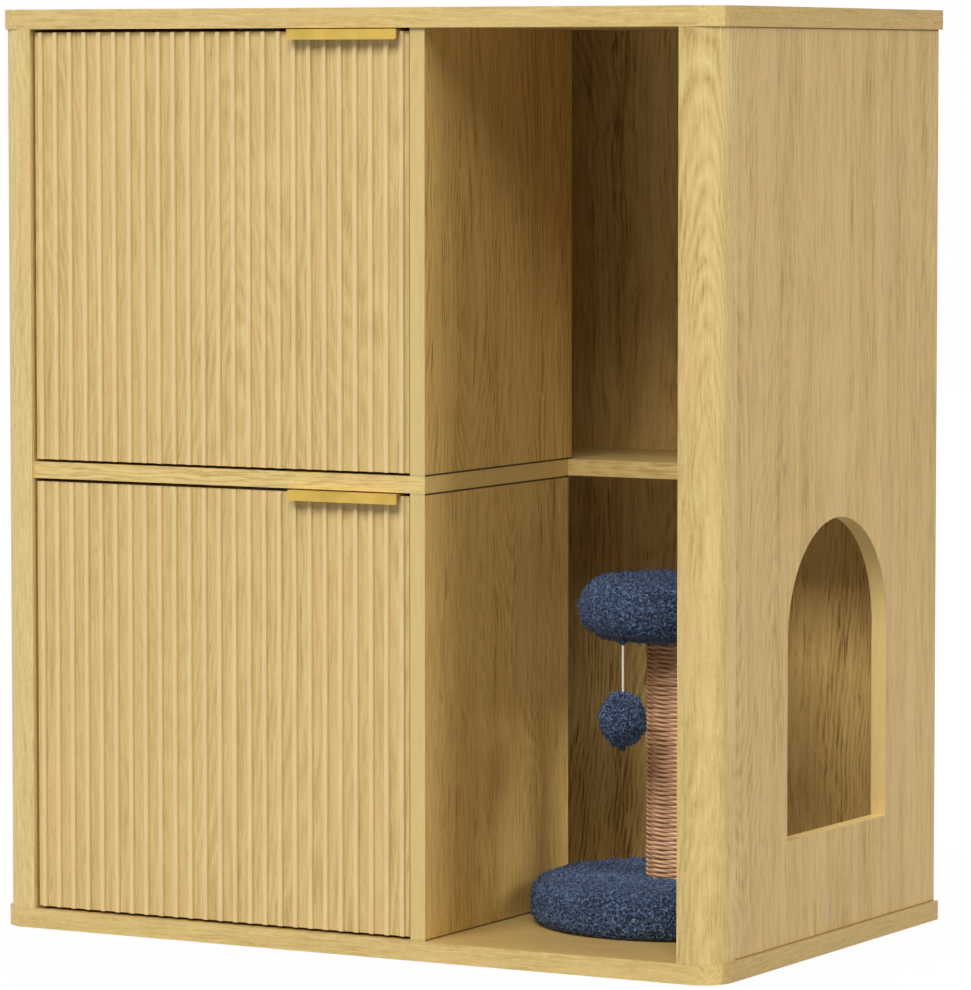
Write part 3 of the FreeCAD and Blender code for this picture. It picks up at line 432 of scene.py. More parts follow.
def oak(name, along="Z", shift=0.0, pale=(228, 205, 143), body=(214, 189, 126), deep=(201, 173, 110),
        dark=(172, 140, 80), blush=(222, 189, 132), rings=0.34, flecks=0.0, bands=0.3, contrast=1.0,
        end_band=None):
    """An oak decor whose grain runs along one axis, and turns in a panel's end band."""
    paint, tree, shader = new_material(name)
    place = turned_band(tree, *end_band) if end_band else own_place(tree)
    winding = wandering(tree, grain_scales(along, 0.35), 55, 0.007, shift, place)

    def grain(stretch, scale, detail, offset, roughness=0.55):
        drawn_out = stretched(tree, grain_scales(along, stretch), shift + offset, winding)
        return noise_of(tree, drawn_out, scale, detail, roughness)

    hills = grain(stretch=0.16, scale=7.0, detail=1.5, offset=0.0, roughness=0.4)
    contour = arithmetic(tree, "PINGPONG", arithmetic(tree, "MULTIPLY", hills, RING_STEPS), 1.0)
    patches = grain(stretch=0.2, scale=6.0, detail=1, offset=9.3)
    shown = ramp(tree, patches, [(0.40, (0.25, 0.25, 0.25, 1)), (0.62, (1, 1, 1, 1))])
    arches = arithmetic(tree, "MULTIPLY_ADD", arithmetic(tree, "SUBTRACT", contour, 0.5), shown, 0.5)
    fibres = grain(stretch=0.030, scale=480, detail=2, offset=4.1, roughness=0.6)
    hairs = grain(stretch=0.020, scale=1000, detail=2, offset=6.4, roughness=0.6)
    tone = grain(stretch=0.045, scale=40, detail=2, offset=8.8)
    layers = [(arches, rings * contrast), (fibres, 1.1 * contrast), (hairs, 0.9 * contrast),
              (tone, bands * contrast)]
    if flecks:
        layers.append((grain(stretch=0.5, scale=260, detail=3, offset=11.0, roughness=0.7), flecks))
    color = ramp(tree, weighed(tree, layers), [(0.14, srgb(*dark)), (0.37, srgb(*deep)),
                                               (0.55, srgb(*body)), (0.82, srgb(*pale))])
    clouds = grain(stretch=0.12, scale=60, detail=2, offset=13.0)
    warm = ramp(tree, clouds, [(0.42, (0, 0, 0, 1)), (0.68, (BLUSH_SHARE,) * 3 + (1,))])
    color = blend_colors(tree, "MIX", warm, color, srgb(*blush))
    dashes = grain(stretch=0.1, scale=800, detail=2, offset=15.0)
    pores = arithmetic(tree, "LESS_THAN", dashes, 0.345)
    color = blend_colors(tree, "MIX", arithmetic(tree, "MULTIPLY", pores, PORE_SHARE), color, srgb(*dark))
    rough = arithmetic(tree, "MULTIPLY_ADD", fibres, 0.2, 0.42)
    set_inputs(tree, shader, {"Base Color": color, "Roughness": rough})
    bumped(tree, shader, arithmetic(tree, "SUBTRACT", hairs, pores), 0.08, 0.0004)
    return paint


print("oak ready")

# %% [markdown]
# A board's face and edge differ a little, and each is a thin strip of the same node. So a finish can be laid
# over with strips: wherever one coordinate lies near a middle value, another tone shows, and along joints and
# gaps that tone is a painted shade. The strip glued over a panel's end is cut with its grain the other way
# round, so there X and Y change places before any noise is made.

# %% Strips and end bands
def wrapped(paint, axis, middle, reach, strip, share, mode="MIX", also=None):
    """Lays a tone where one coordinate, and perhaps another, is near a middle value."""
    tree = paint.node_tree
    shader = tree.nodes["Principled BSDF"]
    color = shader.inputs["Base Color"].links[0].from_socket
    split = add_node(tree, "SeparateXYZ", {0: own_place(tree)}).outputs
    factor = arithmetic(tree, "MULTIPLY", arithmetic(tree, "COMPARE", split[axis], middle, reach), share)
    if also:
        other_axis, other_middle, other_reach = also
        near = arithmetic(tree, "COMPARE", split[other_axis], other_middle, other_reach)
        factor = arithmetic(tree, "MULTIPLY", factor, near)
    set_inputs(tree, shader, {"Base Color": blend_colors(tree, mode, factor, color, srgb(*strip))})


def turned_band(tree, end, reach, level, half):
    """Own coordinates, but X and Y change places in the band on a panel's right end."""
    place = own_place(tree)
    split = add_node(tree, "SeparateXYZ", {0: place}).outputs
    swapped = add_node(tree, "CombineXYZ", {"X": split["Y"], "Y": split["X"], "Z": split["Z"]})
    in_band = arithmetic(tree, "MULTIPLY", arithmetic(tree, "COMPARE", split["X"], end, reach),
                         arithmetic(tree, "COMPARE", split["Z"], level, half))
    inputs = {0: in_band, 4: place, 5: swapped.outputs[0]}
    return add_node(tree, "Mix", inputs, data_type="VECTOR").outputs[1]


print("strip helpers ready")

# %% [markdown]
# The boards differ in tone: the posts and edges are palest, the outer sides a little browner, and
# the boards inside the bay the warmest. Each has a shift of its own, so the figures differ too.

# %% Tones of the boards
SIDE_TONES = dict(pale=(213, 183, 120), body=(201, 170, 106), deep=(187, 155, 92), dark=(160, 127, 72),
                  blush=(209, 177, 126), rings=0.22, bands=0.9)
EDGE_TONES = dict(pale=(223, 200, 132), body=(210, 184, 116), deep=(199, 171, 103), dark=(174, 142, 80))
INNER_TONES = dict(pale=(232, 199, 126), body=(221, 186, 110), deep=(204, 167, 92), dark=(162, 122, 62),
                   blush=(218, 178, 110), rings=0.35, bands=0.6)
BACK_TONES = dict(INNER_TONES, pale=(242, 210, 138), body=(232, 197, 120), deep=(214, 177, 100),
                  dark=(150, 110, 54), bands=1.1, contrast=1.15)
SHELF_TONES = dict(EDGE_TONES, pale=(230, 206, 136), body=(222, 195, 122))
RIGHT_POST_TONES = dict(pale=(217, 195, 130), body=(202, 178, 113), deep=(192, 165, 101), dark=(168, 138, 78))
LEFT_POST_TONES = dict(pale=(230, 209, 146), body=(217, 194, 130), deep=(206, 181, 116), dark=(180, 150, 90))
post_oak = oak("oak_post", shift=0.4, flecks=0.5, rings=0.5, contrast=0.8, **RIGHT_POST_TONES)
left_post_oak = oak("oak_left_post", shift=1.9, flecks=0.5, rings=0.4, contrast=0.7, **LEFT_POST_TONES)
left_oak = oak("oak_left_board", shift=9.7, **SIDE_TONES)
back_oak = oak("oak_back_panel", shift=5.2, **BACK_TONES)
inner_oak = oak("oak_battens", shift=6.6, **INNER_TONES)
print("plain boards:", [m.name for m in bpy.data.materials if m.name.startswith("oak")])

# %% [markdown]
# The top and bottom panels get a browner right end, and the bottom panel's top face is darkened as painted
# shade. The side board's front edge is paler than its face, and a line of painted shade lies where it meets each
# panel.

# %% Panels and side board
SIDE_EDGE = (232, 226, 214)
END_BAND_REACH = 0.014
JOINT_SHADE_LINE = dict(reach=0.0011, strip=(110, 82, 42), share=0.7)
foot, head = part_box("lower_partition")[0][2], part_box("upper_partition")[1][2]


def panel_oak(name, shift, node):
    """A top or bottom panel: grain along X, and a browner end band whose grain runs along Y."""
    low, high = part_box(node)
    level, half = (low[2] + high[2]) / 2, (high[2] - low[2]) / 2 - 0.0002
    paint = oak(name, along="X", shift=shift, flecks=0.6, rings=0.2, contrast=0.7,
                end_band=(high[0], END_BAND_REACH, level, half), **EDGE_TONES)
    wrapped(paint, "X", high[0], reach=0.003, strip=SIDE_EDGE, share=1.0, mode="MULTIPLY")
    return paint


top_oak = panel_oak("oak_top_panel", 1.3, "top_panel")
bottom_oak = panel_oak("oak_bottom_panel", 3.3, "bottom_panel")
# Painted shade on the bottom panel's top face and its top edge.
wrapped(bottom_oak, "Z", foot, reach=0.0004, strip=(168, 136, 78), share=0.5)
side_oak = oak("oak_side_board", shift=2.9, **SIDE_TONES)
wrapped(side_oak, "X", 0.3645, reach=0.0072, strip=(236, 206, 134), share=0.75)
# A line of painted shade where the side board meets each panel.
for level in (foot, head):
    wrapped(side_oak, "Z", level, **JOINT_SHADE_LINE)
print("panels and side board ready")

# %% [markdown]
# Inside the bay the partitions meet the shelf and the bottom panel face to face, and a nearly black painted
# shade lies along each seam. Their front edges and the shelf's end in the bay carry paler edge strips.

# %% Partitions and shelf
# The nearly black seam tone is painted shade.
SEAM_SHADE = (46, 28, 10)
shelf_low, shelf_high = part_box("middle_shelf")
partition_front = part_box("upper_partition")[0][1]
bay_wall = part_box("lower_partition")[1][0]
upper_wall_oak = oak("oak_upper_partition", shift=6.6, **INNER_TONES)
wrapped(upper_wall_oak, "Z", shelf_high[2], reach=0.0017, strip=SEAM_SHADE, share=0.95)
lower_wall_oak = oak("oak_lower_partition", shift=7.3, **INNER_TONES)
wrapped(lower_wall_oak, "Z", shelf_low[2], reach=0.0017, strip=SEAM_SHADE, share=0.95)
wrapped(lower_wall_oak, "Z", foot, reach=0.0014, strip=SEAM_SHADE, share=0.8)
for paint in (upper_wall_oak, lower_wall_oak):
    wrapped(paint, "Y", partition_front, reach=0.0008, strip=(210, 188, 126), share=0.8)
shelf_oak = oak("oak_shelf", along="X", shift=8.0, flecks=0.3, contrast=0.8, **SHELF_TONES)
wrapped(shelf_oak, "X", bay_wall, reach=0.0006, strip=(228, 190, 110), share=0.5)
print("partitions and shelf ready")

# %% [markdown]
# The doors have the same decor, and the rib crests are painted a slightly pinker, paler tone; they are told
# apart by depth: whatever lies in front of the recessed face is rib. The first millimetres of a door's free edge
# lie in the narrow gap beside the partition and carry a painted shade.

# %% Door finish
RIB_MIDDLE_Y = -0.2225
RIB_STRIP = (231, 208, 158)
GAP_SHADE = (74, 50, 20)
DOOR_TONES = dict(pale=(226, 203, 141), body=(212, 187, 124), deep=(199, 171, 108),
                  rings=0.42, contrast=0.66, bands=0.25)
door_front, door_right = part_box("upper_door")[0][1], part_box("upper_door")[1][0]
upper_door_oak = oak("oak_upper_door", shift=12.4, **DOOR_TONES)
lower_door_oak = oak("oak_lower_door", shift=15.9, **DOOR_TONES)
for paint in (upper_door_oak, lower_door_oak):
    wrapped(paint, "Y", RIB_MIDDLE_Y, reach=0.0018, strip=RIB_STRIP, share=0.55)
    # The dark strip at the free edge is painted shade in the gap.
    wrapped(paint, "X", door_right, reach=0.0006, strip=GAP_SHADE, share=0.85,
            also=("Y", door_front, 0.0065))
print("door finishes ready")

# %% [markdown]
# Beech, plywood and a wound paper tube are inside the post and the joints. All show fine streaks
# along one axis, so the oak function paints them in their own tones.

# %% Inner woods and paper
raw_beech = oak("raw_beech", along="Z", shift=21.0, pale=(228, 196, 152), body=(214, 178, 132),
                deep=(196, 158, 112), dark=(170, 130, 88), blush=(222, 184, 140))
raw_board = oak("raw_plywood", along="X", shift=23.0, pale=(214, 184, 138), body=(198, 166, 118),
                deep=(176, 144, 98), dark=(150, 118, 78), blush=(204, 168, 122))
wound_paper = oak("wound_paper_tube", along="X", shift=25.0, pale=(176, 146, 112), body=(160, 130, 96),
                  deep=(142, 112, 80), dark=(120, 94, 66), blush=(166, 134, 100), rings=0.0)
print("inner woods ready")

# %% [markdown]
# ## Metal, plastic and foam
# The pulls are satin brass: brushed along their length, so the brushing is noise stretched along X.
# The hinge steel is nickel plated, the screws are zinc plated, and the catches are moulded plastic.

# %% Metal and plastic finishes
EVEN = (1, 1, 1)


def brushed(name, color, roughness, along, shift=0.0):
    """A satin metal with fine brushing along one axis and faint cloudy wear."""
    paint, tree, shader = new_material(name)
    lines = noise_of(tree, stretched(tree, grain_scales(along, 0.05), shift), scale=2600, detail=2)
    cloud = noise_of(tree, stretched(tree, EVEN, shift), scale=45)
    darker = tuple(level * 0.8 for level in color[:3]) + (1,)
    set_inputs(tree, shader, {"Base Color": ramp(tree, cloud, [(0.3, darker), (0.62, color)]), "Metallic": 1.0,
                              "Roughness": arithmetic(tree, "MULTIPLY_ADD", lines, 0.18, roughness - 0.09)})
    bumped(tree, shader, lines, 0.15, 0.00006)
    return paint


def moulded(name, color, roughness):
    """A plastic with the fine pitting of a spark-eroded mould."""
    paint, tree, shader = new_material(name)
    pits = noise_of(tree, stretched(tree, EVEN), scale=1500, detail=2)
    lighter = tuple(min(1, level * 1.25) for level in color[:3]) + (1,)
    set_inputs(tree, shader, {"Base Color": ramp(tree, pits, [(0.35, color), (0.75, lighter)]),
                              "Roughness": roughness})
    bumped(tree, shader, pits, 0.3, 0.00008)
    return paint


satin_brass = brushed("satin_brass", srgb(208, 175, 87), 0.42, "X")
nickel_steel = brushed("nickel_plated_steel", srgb(196, 194, 188), 0.3, "Z", 2.0)
zinc_steel = brushed("zinc_plated_steel", srgb(186, 188, 192), 0.38, "Z", 4.0)
cast_zinc = brushed("cast_zinc", srgb(160, 162, 166), 0.5, "Y", 6.0)
dark_magnet = brushed("plated_magnet", srgb(92, 92, 96), 0.34, "X", 8.0)
grey_plastic = moulded("grey_plastic", srgb(104, 104, 106), 0.5)
print("metals and plastics ready")

# %% [markdown]
# Foam is only seen where a cover is open, but it still gets its cells: a cellular noise with small pits,
# darkened as painted shade.

# %% Foam finish
def foam(name):
    """A cream foam with open cells."""
    paint, tree, shader = new_material(name)
    cells = add_node(tree, "TexVoronoi", {"Vector": stretched(tree, EVEN), "Scale": 900}).outputs["Distance"]
    # The darker pits are painted shade.
    color = ramp(tree, cells, [(0.1, srgb(196, 188, 160)), (0.6, srgb(236, 230, 208))])
    set_inputs(tree, shader, {"Base Color": color, "Roughness": 0.9})
    bumped(tree, shader, cells, 0.6, 0.0005)
    return paint


cell_foam = foam("open_cell_foam")
print("foam ready")

# %% [markdown]
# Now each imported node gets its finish. A node's mesh is never touched: only its material slots are.

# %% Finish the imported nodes
def finish_node(node, paint):
    """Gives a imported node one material."""
    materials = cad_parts[node].data.materials
    materials.clear()
    materials.append(paint)


FINISHES = (
    (bottom_oak, "bottom_panel"), (top_oak, "top_panel"), (left_post_oak, "left_post"), (post_oak, "right_post"),
    (left_oak, "left_side_board"), (side_oak, "right_side_board"), (back_oak, "back_panel"),
    (shelf_oak, "middle_shelf"), (upper_wall_oak, "upper_partition"), (lower_wall_oak, "lower_partition"),
    (inner_oak, "upper_hinge_batten lower_hinge_batten"),
    (upper_door_oak, "upper_door"), (lower_door_oak, "lower_door"),
    (satin_brass, "upper_handle lower_handle upper_handle_screws lower_handle_screws"),
    (raw_beech, "wood_dowels core_end_plugs"), (raw_board, "base_board platform_board"),
    (wound_paper, "core_tube"), (cell_foam, "base_foam platform_foam"), (cast_zinc, "cam_nuts"),
    (grey_plastic, "catch_cases"), (dark_magnet, "catch_magnets"),
    (nickel_steel, "hinge_plates hinge_arms hinge_pins hinge_arm_screws hinge_plate_screws upper_hinge_cups "
                   "lower_hinge_cups upper_hinge_links lower_hinge_links upper_cup_screws lower_cup_screws"),
    (zinc_steel, "cam_bolts back_panel_screws batten_screws catch_screws post_bolts upper_strike_plate "
                 "lower_strike_plate upper_strike_screws lower_strike_screws"),
)
finished = set()
for paint, names in FINISHES:
    for node in names.split():
        finish_node(node, paint)
        finished.add(node)
print("finished nodes:", len(finished), "left:", sorted(set(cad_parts) - finished))

# %% [markdown]
# ## Plush
# The base, the platform and the ball are covered in navy plush: a short pile that has curled into little worms.
# The material paints shade between them and a highlight on their backs. Hair particles would give every fibre,
# but they don't export, so the pile is real geometry in two layers. First comes the cushion's own surface,
# remeshed finely and raised along winding ridges. Then thousands of small loose curls stand on it, which make
# the outline fuzzy.

# %% Plush material
def plush(name):
    """Navy pile: painted shade in the gaps, painted highlight on the curls, soft at grazing angles."""
    paint, tree, shader = new_material(name)
    pile = add_node(tree, "Attribute", {}, attribute_name="pile").outputs["Fac"]
    fibres = noise_of(tree, stretched(tree, EVEN), scale=1300, detail=2, roughness=0.65)
    threads = noise_of(tree, wandering(tree, EVEN, 300, 0.004), scale=330, detail=1)
    from_zero = arithmetic(tree, "ABSOLUTE", arithmetic(tree, "SUBTRACT", threads, 0.5))
    worms = arithmetic(tree, "MAXIMUM", arithmetic(tree, "MULTIPLY_ADD", from_zero, -9, 1), 0)
    # The pile height paints shade in the gaps and a highlight on the curls.
    level = arithmetic(tree, "ADD", arithmetic(tree, "MULTIPLY", pile, 0.4),
                       arithmetic(tree, "MULTIPLY", worms, 0.55))
    level = arithmetic(tree, "ADD", level, arithmetic(tree, "MULTIPLY_ADD", fibres, 0.7, -0.27))
    color = ramp(tree, level, [(0.15, srgb(8, 13, 24)), (0.42, srgb(31, 46, 72)),
                               (0.72, srgb(62, 84, 118)), (1.0, srgb(122, 150, 188))])
    set_inputs(tree, shader, {"Base Color": color, "Roughness": 0.85, "Sheen Weight": 0.35,
                              "Sheen Roughness": 0.4, "Sheen Tint": srgb(130, 150, 185)})
    bumped(tree, shader, arithmetic(tree, "ADD", fibres, worms), 0.6, 0.0007)
    return paint


navy_plush = plush("navy_plush")
print("plush ready")

# %% [markdown]
# A cushion starts as a plain drum whose two rims are bevelled round. On the real post the plush is
# drawn over foam and a round board, so the drum is hollowed from below: its end face is pulled to
# a new width and level, step by step, round the board and the post's core. The form is right after
# that, but its faces are long strips. A voxel remesh makes them small and even, which is what the
# pile needs.

# %% Cushion form
def rim_edges(shape, height):
    """The edges that lie at one level."""
    return [edge for edge in shape.edges if all(abs(v.co.z - height) < 1e-6 for v in edge.verts)]


def cushion_form(radius, tall, top_round, foot_round):
    """A drum with rounded rims that stands on z = 0."""
    shape = bmesh.new()
    bmesh.ops.create_cone(shape, cap_ends=True, segments=128, radius1=radius, radius2=radius, depth=tall)
    bmesh.ops.translate(shape, verts=shape.verts, vec=(0, 0, tall / 2))
    for height, rounding in ((tall, top_round), (0, foot_round)):
        bmesh.ops.bevel(shape, geom=rim_edges(shape, height), offset=rounding, offset_type="OFFSET",
                        segments=10, profile=0.5, affect="EDGES", material=-1)
    return shape


def end_face(shape, way):
    """The drum's top (way 1) or bottom (way -1) end."""
    return max((face for face in shape.faces if len(face.verts) > 4), key=lambda face: way * face.normal.z)


def pull_end(shape, face, radius, height):
    """Extrudes an end face to another radius and level, and gives the face that moved."""
    grown = bmesh.ops.extrude_face_region(shape, geom=[face])["geom"]
    moved = next(item for item in grown if isinstance(item, bmesh.types.BMFace))
    wide = radius / moved.verts[0].co.xy.length
    bmesh.ops.scale(shape, vec=(wide, wide, 1), verts=moved.verts)
    bmesh.ops.translate(shape, vec=(0, 0, height - moved.verts[0].co.z), verts=moved.verts)
    return moved


def finely_meshed(piece, grain):
    """Replaces a piece's mesh by an even one whose faces are about one grain wide."""
    remesh = piece.modifiers.new("even_faces", "REMESH")
    remesh.mode = "VOXEL"
    remesh.voxel_size = grain
    remesh.use_smooth_shade = True
    keep_modified(piece)


print("cushion helpers ready")

# %% [markdown]
# The winding ridges come from noise: wherever a smooth noise passes through zero there is a thin winding line,
# and two such noises at different scales give curls that cross. Each point moves along its own normal, and how
# far it rose is kept in an attribute, from which the material paints shade in the gaps and a highlight on the
# curls. The hidden faces round the boards stay as they are. The warping noise takes its offsets from a random
# generator, so that is seeded first.

# %% Raise the pile
CURL_WIDTH = 0.0036
RIDGE_SHARPNESS = 3.2
noise.seed_set(5)


def ridges(spot):
    """0 in the gaps, 1 on the winding backs of the curls, for a point of space."""
    warp = noise.noise_vector(spot * (0.45 / CURL_WIDTH)) * (0.5 * CURL_WIDTH)
    here = (spot + warp) / CURL_WIDTH
    other = here * 1.37 + Vector((7, 3, 1))
    return max(1 - min(1, abs(noise.noise(place)) * RIDGE_SHARPNESS) for place in (here, other))


def raise_pile(piece, sunk, proud, hidden=lambda spot: False):
    """Sinks the gaps and lifts the curls along the surface's normals."""
    mesh = piece.data
    normals = [vertex.normal.copy() for vertex in mesh.vertices]
    heights = []
    for vertex, normal in zip(mesh.vertices, normals):
        level = 0.0
        if not hidden(vertex.co):
            level = ridges(vertex.co)
            vertex.co = vertex.co + normal * (level * (sunk + proud) - sunk)
        heights.append(level)
    # How far each point rose sets the material's painted shade and highlight.
    pile = mesh.attributes.new("pile", "FLOAT", "POINT")
    pile.data.foreach_set("value", heights)
    mesh.update()


print("pile helpers ready")

# %% [markdown]
# The base cover stands flat on the bottom panel and goes round its board, and the rope's foot
# stands in its middle. Its two open ends are joined into that bore.

# %% Base cover
POST_MIDDLE = Vector((0.222, -0.0085, 0))
ROPE_BORE = 0.0279
SKIN = 0.0006
BASE_LOW, BASE_TALL, BASE_RADIUS = 0.0182, 0.0424, 0.1305
BASE_BOARD_RADIUS, BASE_BOARD_TOP = 0.1124, 0.0151


def from_post(spot):
    """How far a point is from the post's axis."""
    return (spot.xy - POST_MIDDLE.xy).length


def base_cover():
    shape = cushion_form(BASE_RADIUS, BASE_TALL, top_round=0.018, foot_round=0.012)
    below = end_face(shape, -1)
    for radius, height in ((BASE_BOARD_RADIUS, 0), (BASE_BOARD_RADIUS, BASE_BOARD_TOP),
                           (ROPE_BORE, BASE_BOARD_TOP)):
        below = pull_end(shape, below, radius, height)
    above = pull_end(shape, end_face(shape, 1), ROPE_BORE, BASE_TALL)
    mouths = list(below.edges) + list(above.edges)
    bmesh.ops.delete(shape, geom=[below, above], context="FACES_ONLY")
    bmesh.ops.bridge_loops(shape, edges=mouths)
    bmesh.ops.translate(shape, verts=shape.verts, vec=POST_MIDDLE + Vector((0, 0, BASE_LOW)))
    return shape


def in_base(spot):
    """True on the cover's faces round its board and the rope."""
    by_board = from_post(spot) < BASE_BOARD_RADIUS + SKIN and spot.z < BASE_LOW + BASE_BOARD_TOP + SKIN
    return by_board or from_post(spot) < ROPE_BORE + SKIN


print("base cover radius", BASE_RADIUS)

# %% [markdown]
# The platform cover is closed on top and swallows its board whole. Below, it leaves only the hole
# that the post's core comes through.

# %% Platform cover
CORE_BORE = 0.0239
PLATFORM_LOW, PLATFORM_TALL, PLATFORM_RADIUS = 0.2801, 0.0540, 0.0875
PLATFORM_ROUND = 0.0265
PLATFORM_BOARD_RADIUS, PLATFORM_BOARD_LOW, PLATFORM_BOARD_TOP = 0.0774, 0.0116, 0.0243


def platform_cover():
    shape = cushion_form(PLATFORM_RADIUS, PLATFORM_TALL, PLATFORM_ROUND, PLATFORM_ROUND)
    below = end_face(shape, -1)
    for radius, height in ((CORE_BORE, 0), (CORE_BORE, PLATFORM_BOARD_LOW),
                           (PLATFORM_BOARD_RADIUS, PLATFORM_BOARD_LOW),
                           (PLATFORM_BOARD_RADIUS, PLATFORM_BOARD_TOP)):
        below = pull_end(shape, below, radius, height)
    bmesh.ops.translate(shape, verts=shape.verts, vec=POST_MIDDLE + Vector((0, 0, PLATFORM_LOW)))
    return shape


def in_platform(spot):
    """True on the cover's faces round its board."""
    low, high = PLATFORM_LOW + 0.002, PLATFORM_LOW + PLATFORM_BOARD_TOP + SKIN
    return from_post(spot) < PLATFORM_BOARD_RADIUS + SKIN and low < spot.z < high


print("platform cover radius", PLATFORM_RADIUS)

# %% [markdown]
# Both forms are now meshed finely and raised, and the base's foot, which lies on the bottom panel,
# is pressed flat again. Each cover stands for its plain plush and foam solids.

# %% Finish the covers
COVER_GRAIN = 0.0012
covers = {}
for name, form, hidden, nodes_under in (
        ("base_plush_cover", base_cover(), in_base, ("base_plush", "base_foam")),
        ("platform_plush_cover", platform_cover(), in_platform, ("platform_plush", "platform_foam"))):
    bmesh.ops.recalc_face_normals(form, faces=form.faces)
    cover = mesh_object(name, form)
    finely_meshed(cover, COVER_GRAIN)
    raise_pile(cover, 0.0010, 0.0014, hidden)
    for vertex in cover.data.vertices:
        vertex.co.z = max(vertex.co.z, BASE_LOW)
    cover.data.materials.append(navy_plush)
    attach(cover, "carcass")
    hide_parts(*nodes_under)
    covers[name] = (cover, hidden)
    print(name, len(cover.data.vertices), "points")

# %% [markdown]
# The ball is a small stuffed plush ball that is a little taller than wide, with flat places where
# the pile was pressed. It starts as a UV sphere whose poles are opened and joined into a bore,
# because the string runs through it, and it is remeshed and raised as the cushions are. Its pile
# parts round the knot below.

# %% The hanging ball
BALL_MIDDLE = Vector((0.205, -0.0805, 0.210))
BALL_GRAIN = 0.0007
KNOT_MIDDLE, KNOT_ROOM = Vector((0.205, -0.0805, STRING_BOTTOM_Z)), 0.0033
STRING_ROOM = 0.004
LUMP_SHARE = 0.10


def ball_form(radius, upper_half, lower_half, bore):
    """An egg with a bore from top to bottom, about the origin."""
    shape = bmesh.new()
    bmesh.ops.create_uvsphere(shape, u_segments=48, v_segments=32, radius=1)
    poles = [vertex for vertex in shape.verts if abs(vertex.co.z) > 0.9999]
    bmesh.ops.delete(shape, geom=poles, context="VERTS")
    mouths = [edge for edge in shape.edges if edge.is_boundary]
    bmesh.ops.scale(shape, vec=(radius, radius, upper_half), verts=shape.verts)
    below = [vertex for vertex in shape.verts if vertex.co.z < 0]
    bmesh.ops.scale(shape, vec=(1, 1, lower_half / upper_half), verts=below)
    for vertex in {v for edge in mouths for v in edge.verts}:
        vertex.co.xy = vertex.co.xy.normalized() * bore
    bmesh.ops.bridge_loops(shape, edges=mouths)
    bmesh.ops.recalc_face_normals(shape, faces=shape.faces)
    return shape


toy = mesh_object("toy_plush_ball", ball_form(radius=0.0205, upper_half=0.0250, lower_half=0.0238, bore=0.0016))
toy.data.transform(Matrix.Translation(BALL_MIDDLE))
finely_meshed(toy, BALL_GRAIN)
for vertex in toy.data.vertices:
    out = vertex.co - BALL_MIDDLE
    if out.xy.length > STRING_ROOM:
        lump = noise.noise(out * 110 + Vector((1.3, 0.4, 2.2)))
        vertex.co = BALL_MIDDLE + out * (1 + LUMP_SHARE * lump)
toy.data.update()
raise_pile(toy, 0.0008, 0.0010)
for vertex in toy.data.vertices:
    from_knot = vertex.co - KNOT_MIDDLE
    if from_knot.length < KNOT_ROOM:
        vertex.co = KNOT_MIDDLE + from_knot.normalized() * KNOT_ROOM
toy.data.materials.append(navy_plush)
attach(toy, "hanging_toy")
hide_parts("toy_ball")
print("ball", len(toy.data.vertices), "points")

# %% [markdown]
# One loose curl is a thin pointed hook: a small three-sided ring of points, spun through an arc
# and narrowed to its tip. It is placed thousands of times, each time turned and tilted at random,
# so it may have only a few faces. The random numbers have a seed, so every run gives the same pile.

# %% One curl
def curl_mesh(length, thickness):
    """A three-sided hook that stands on the origin and leans over as it rises."""
    sides, steps = 3, 4
    shape = bmesh.new()
    bmesh.ops.create_circle(shape, segments=sides, radius=thickness / 2)
    bmesh.ops.spin(shape, geom=shape.verts[:] + shape.edges[:], cent=(length * 0.62, 0, 0), axis=(0, 1, 0),
                   angle=math.radians(105), steps=steps)
    points = list(shape.verts)
    for step in range(steps + 1):
        ring = points[step * sides:(step + 1) * sides]
        middle = sum((point.co for point in ring), Vector()) / sides
        narrow = 1 - 0.75 * (step / steps) ** 2
        bmesh.ops.scale(shape, vec=(narrow,) * 3, verts=ring, space=Matrix.Translation(-middle))
    bmesh.ops.holes_fill(shape, edges=shape.edges, sides=sides)
    bmesh.ops.recalc_face_normals(shape, faces=shape.faces)
    data = bpy.data.meshes.new("one_curl")
    shape.to_mesh(data)
    shape.free()
    return data


print("curl ready")

# %% [markdown]
# The curls stand on points of the cover's own mesh, picked in a random order. Faces that lie on a
# board, on the floor of the bay or against the rope stay bare.

# %% Spread the curls
SPARSE = 1
CURL_ROOT = 0.0006
BARE_FOOT = 0.0215
ROPE_ROOM = 0.004


def loose_curls(name, ground, count, length, thickness, seed, bare):
    """One piece that holds count curls, spread over the ground piece."""
    pick = np.random.default_rng(seed)
    curl = curl_mesh(length, thickness)
    rest = np.empty(len(curl.vertices) * 3, dtype=np.float32)
    curl.vertices.foreach_get("co", rest)
    mesh = ground.data
    pile = bmesh.new()
    level = []
    for index in pick.permutation(len(mesh.vertices)):
        root = mesh.vertices[int(index)]
        if len(level) == count:
            break
        if bare(root.co):
            continue
        upright = root.normal.to_track_quat("Z", "X")
        turn = Matrix.Rotation(pick.uniform(0, 2 * math.pi), 4, "Z")
        tilt = Matrix.Rotation(pick.uniform(-0.7, 0.3), 4, "Y")
        size = Matrix.Scale(pick.uniform(0.65, 1.15), 4)
        seat = Matrix.Translation(root.co - root.normal * CURL_ROOT)
        curl.transform(seat @ upright.to_matrix().to_4x4() @ turn @ tilt @ size)
        pile.from_mesh(curl)
        curl.vertices.foreach_set("co", rest)
        level.append(pick.uniform(0.45, 1.0))
    bpy.data.meshes.remove(curl)
    piece = mesh_object(name, pile)
    # Each curl's random pile value sets how much painted highlight the material gives it.
    shade = piece.data.attributes.new("pile", "FLOAT", "POINT")
    shade.data.foreach_set("value", np.repeat(level, len(rest) // 3))
    piece.data.materials.append(navy_plush)
    print(name, len(level), "curls", len(piece.data.polygons), "faces")
    return piece


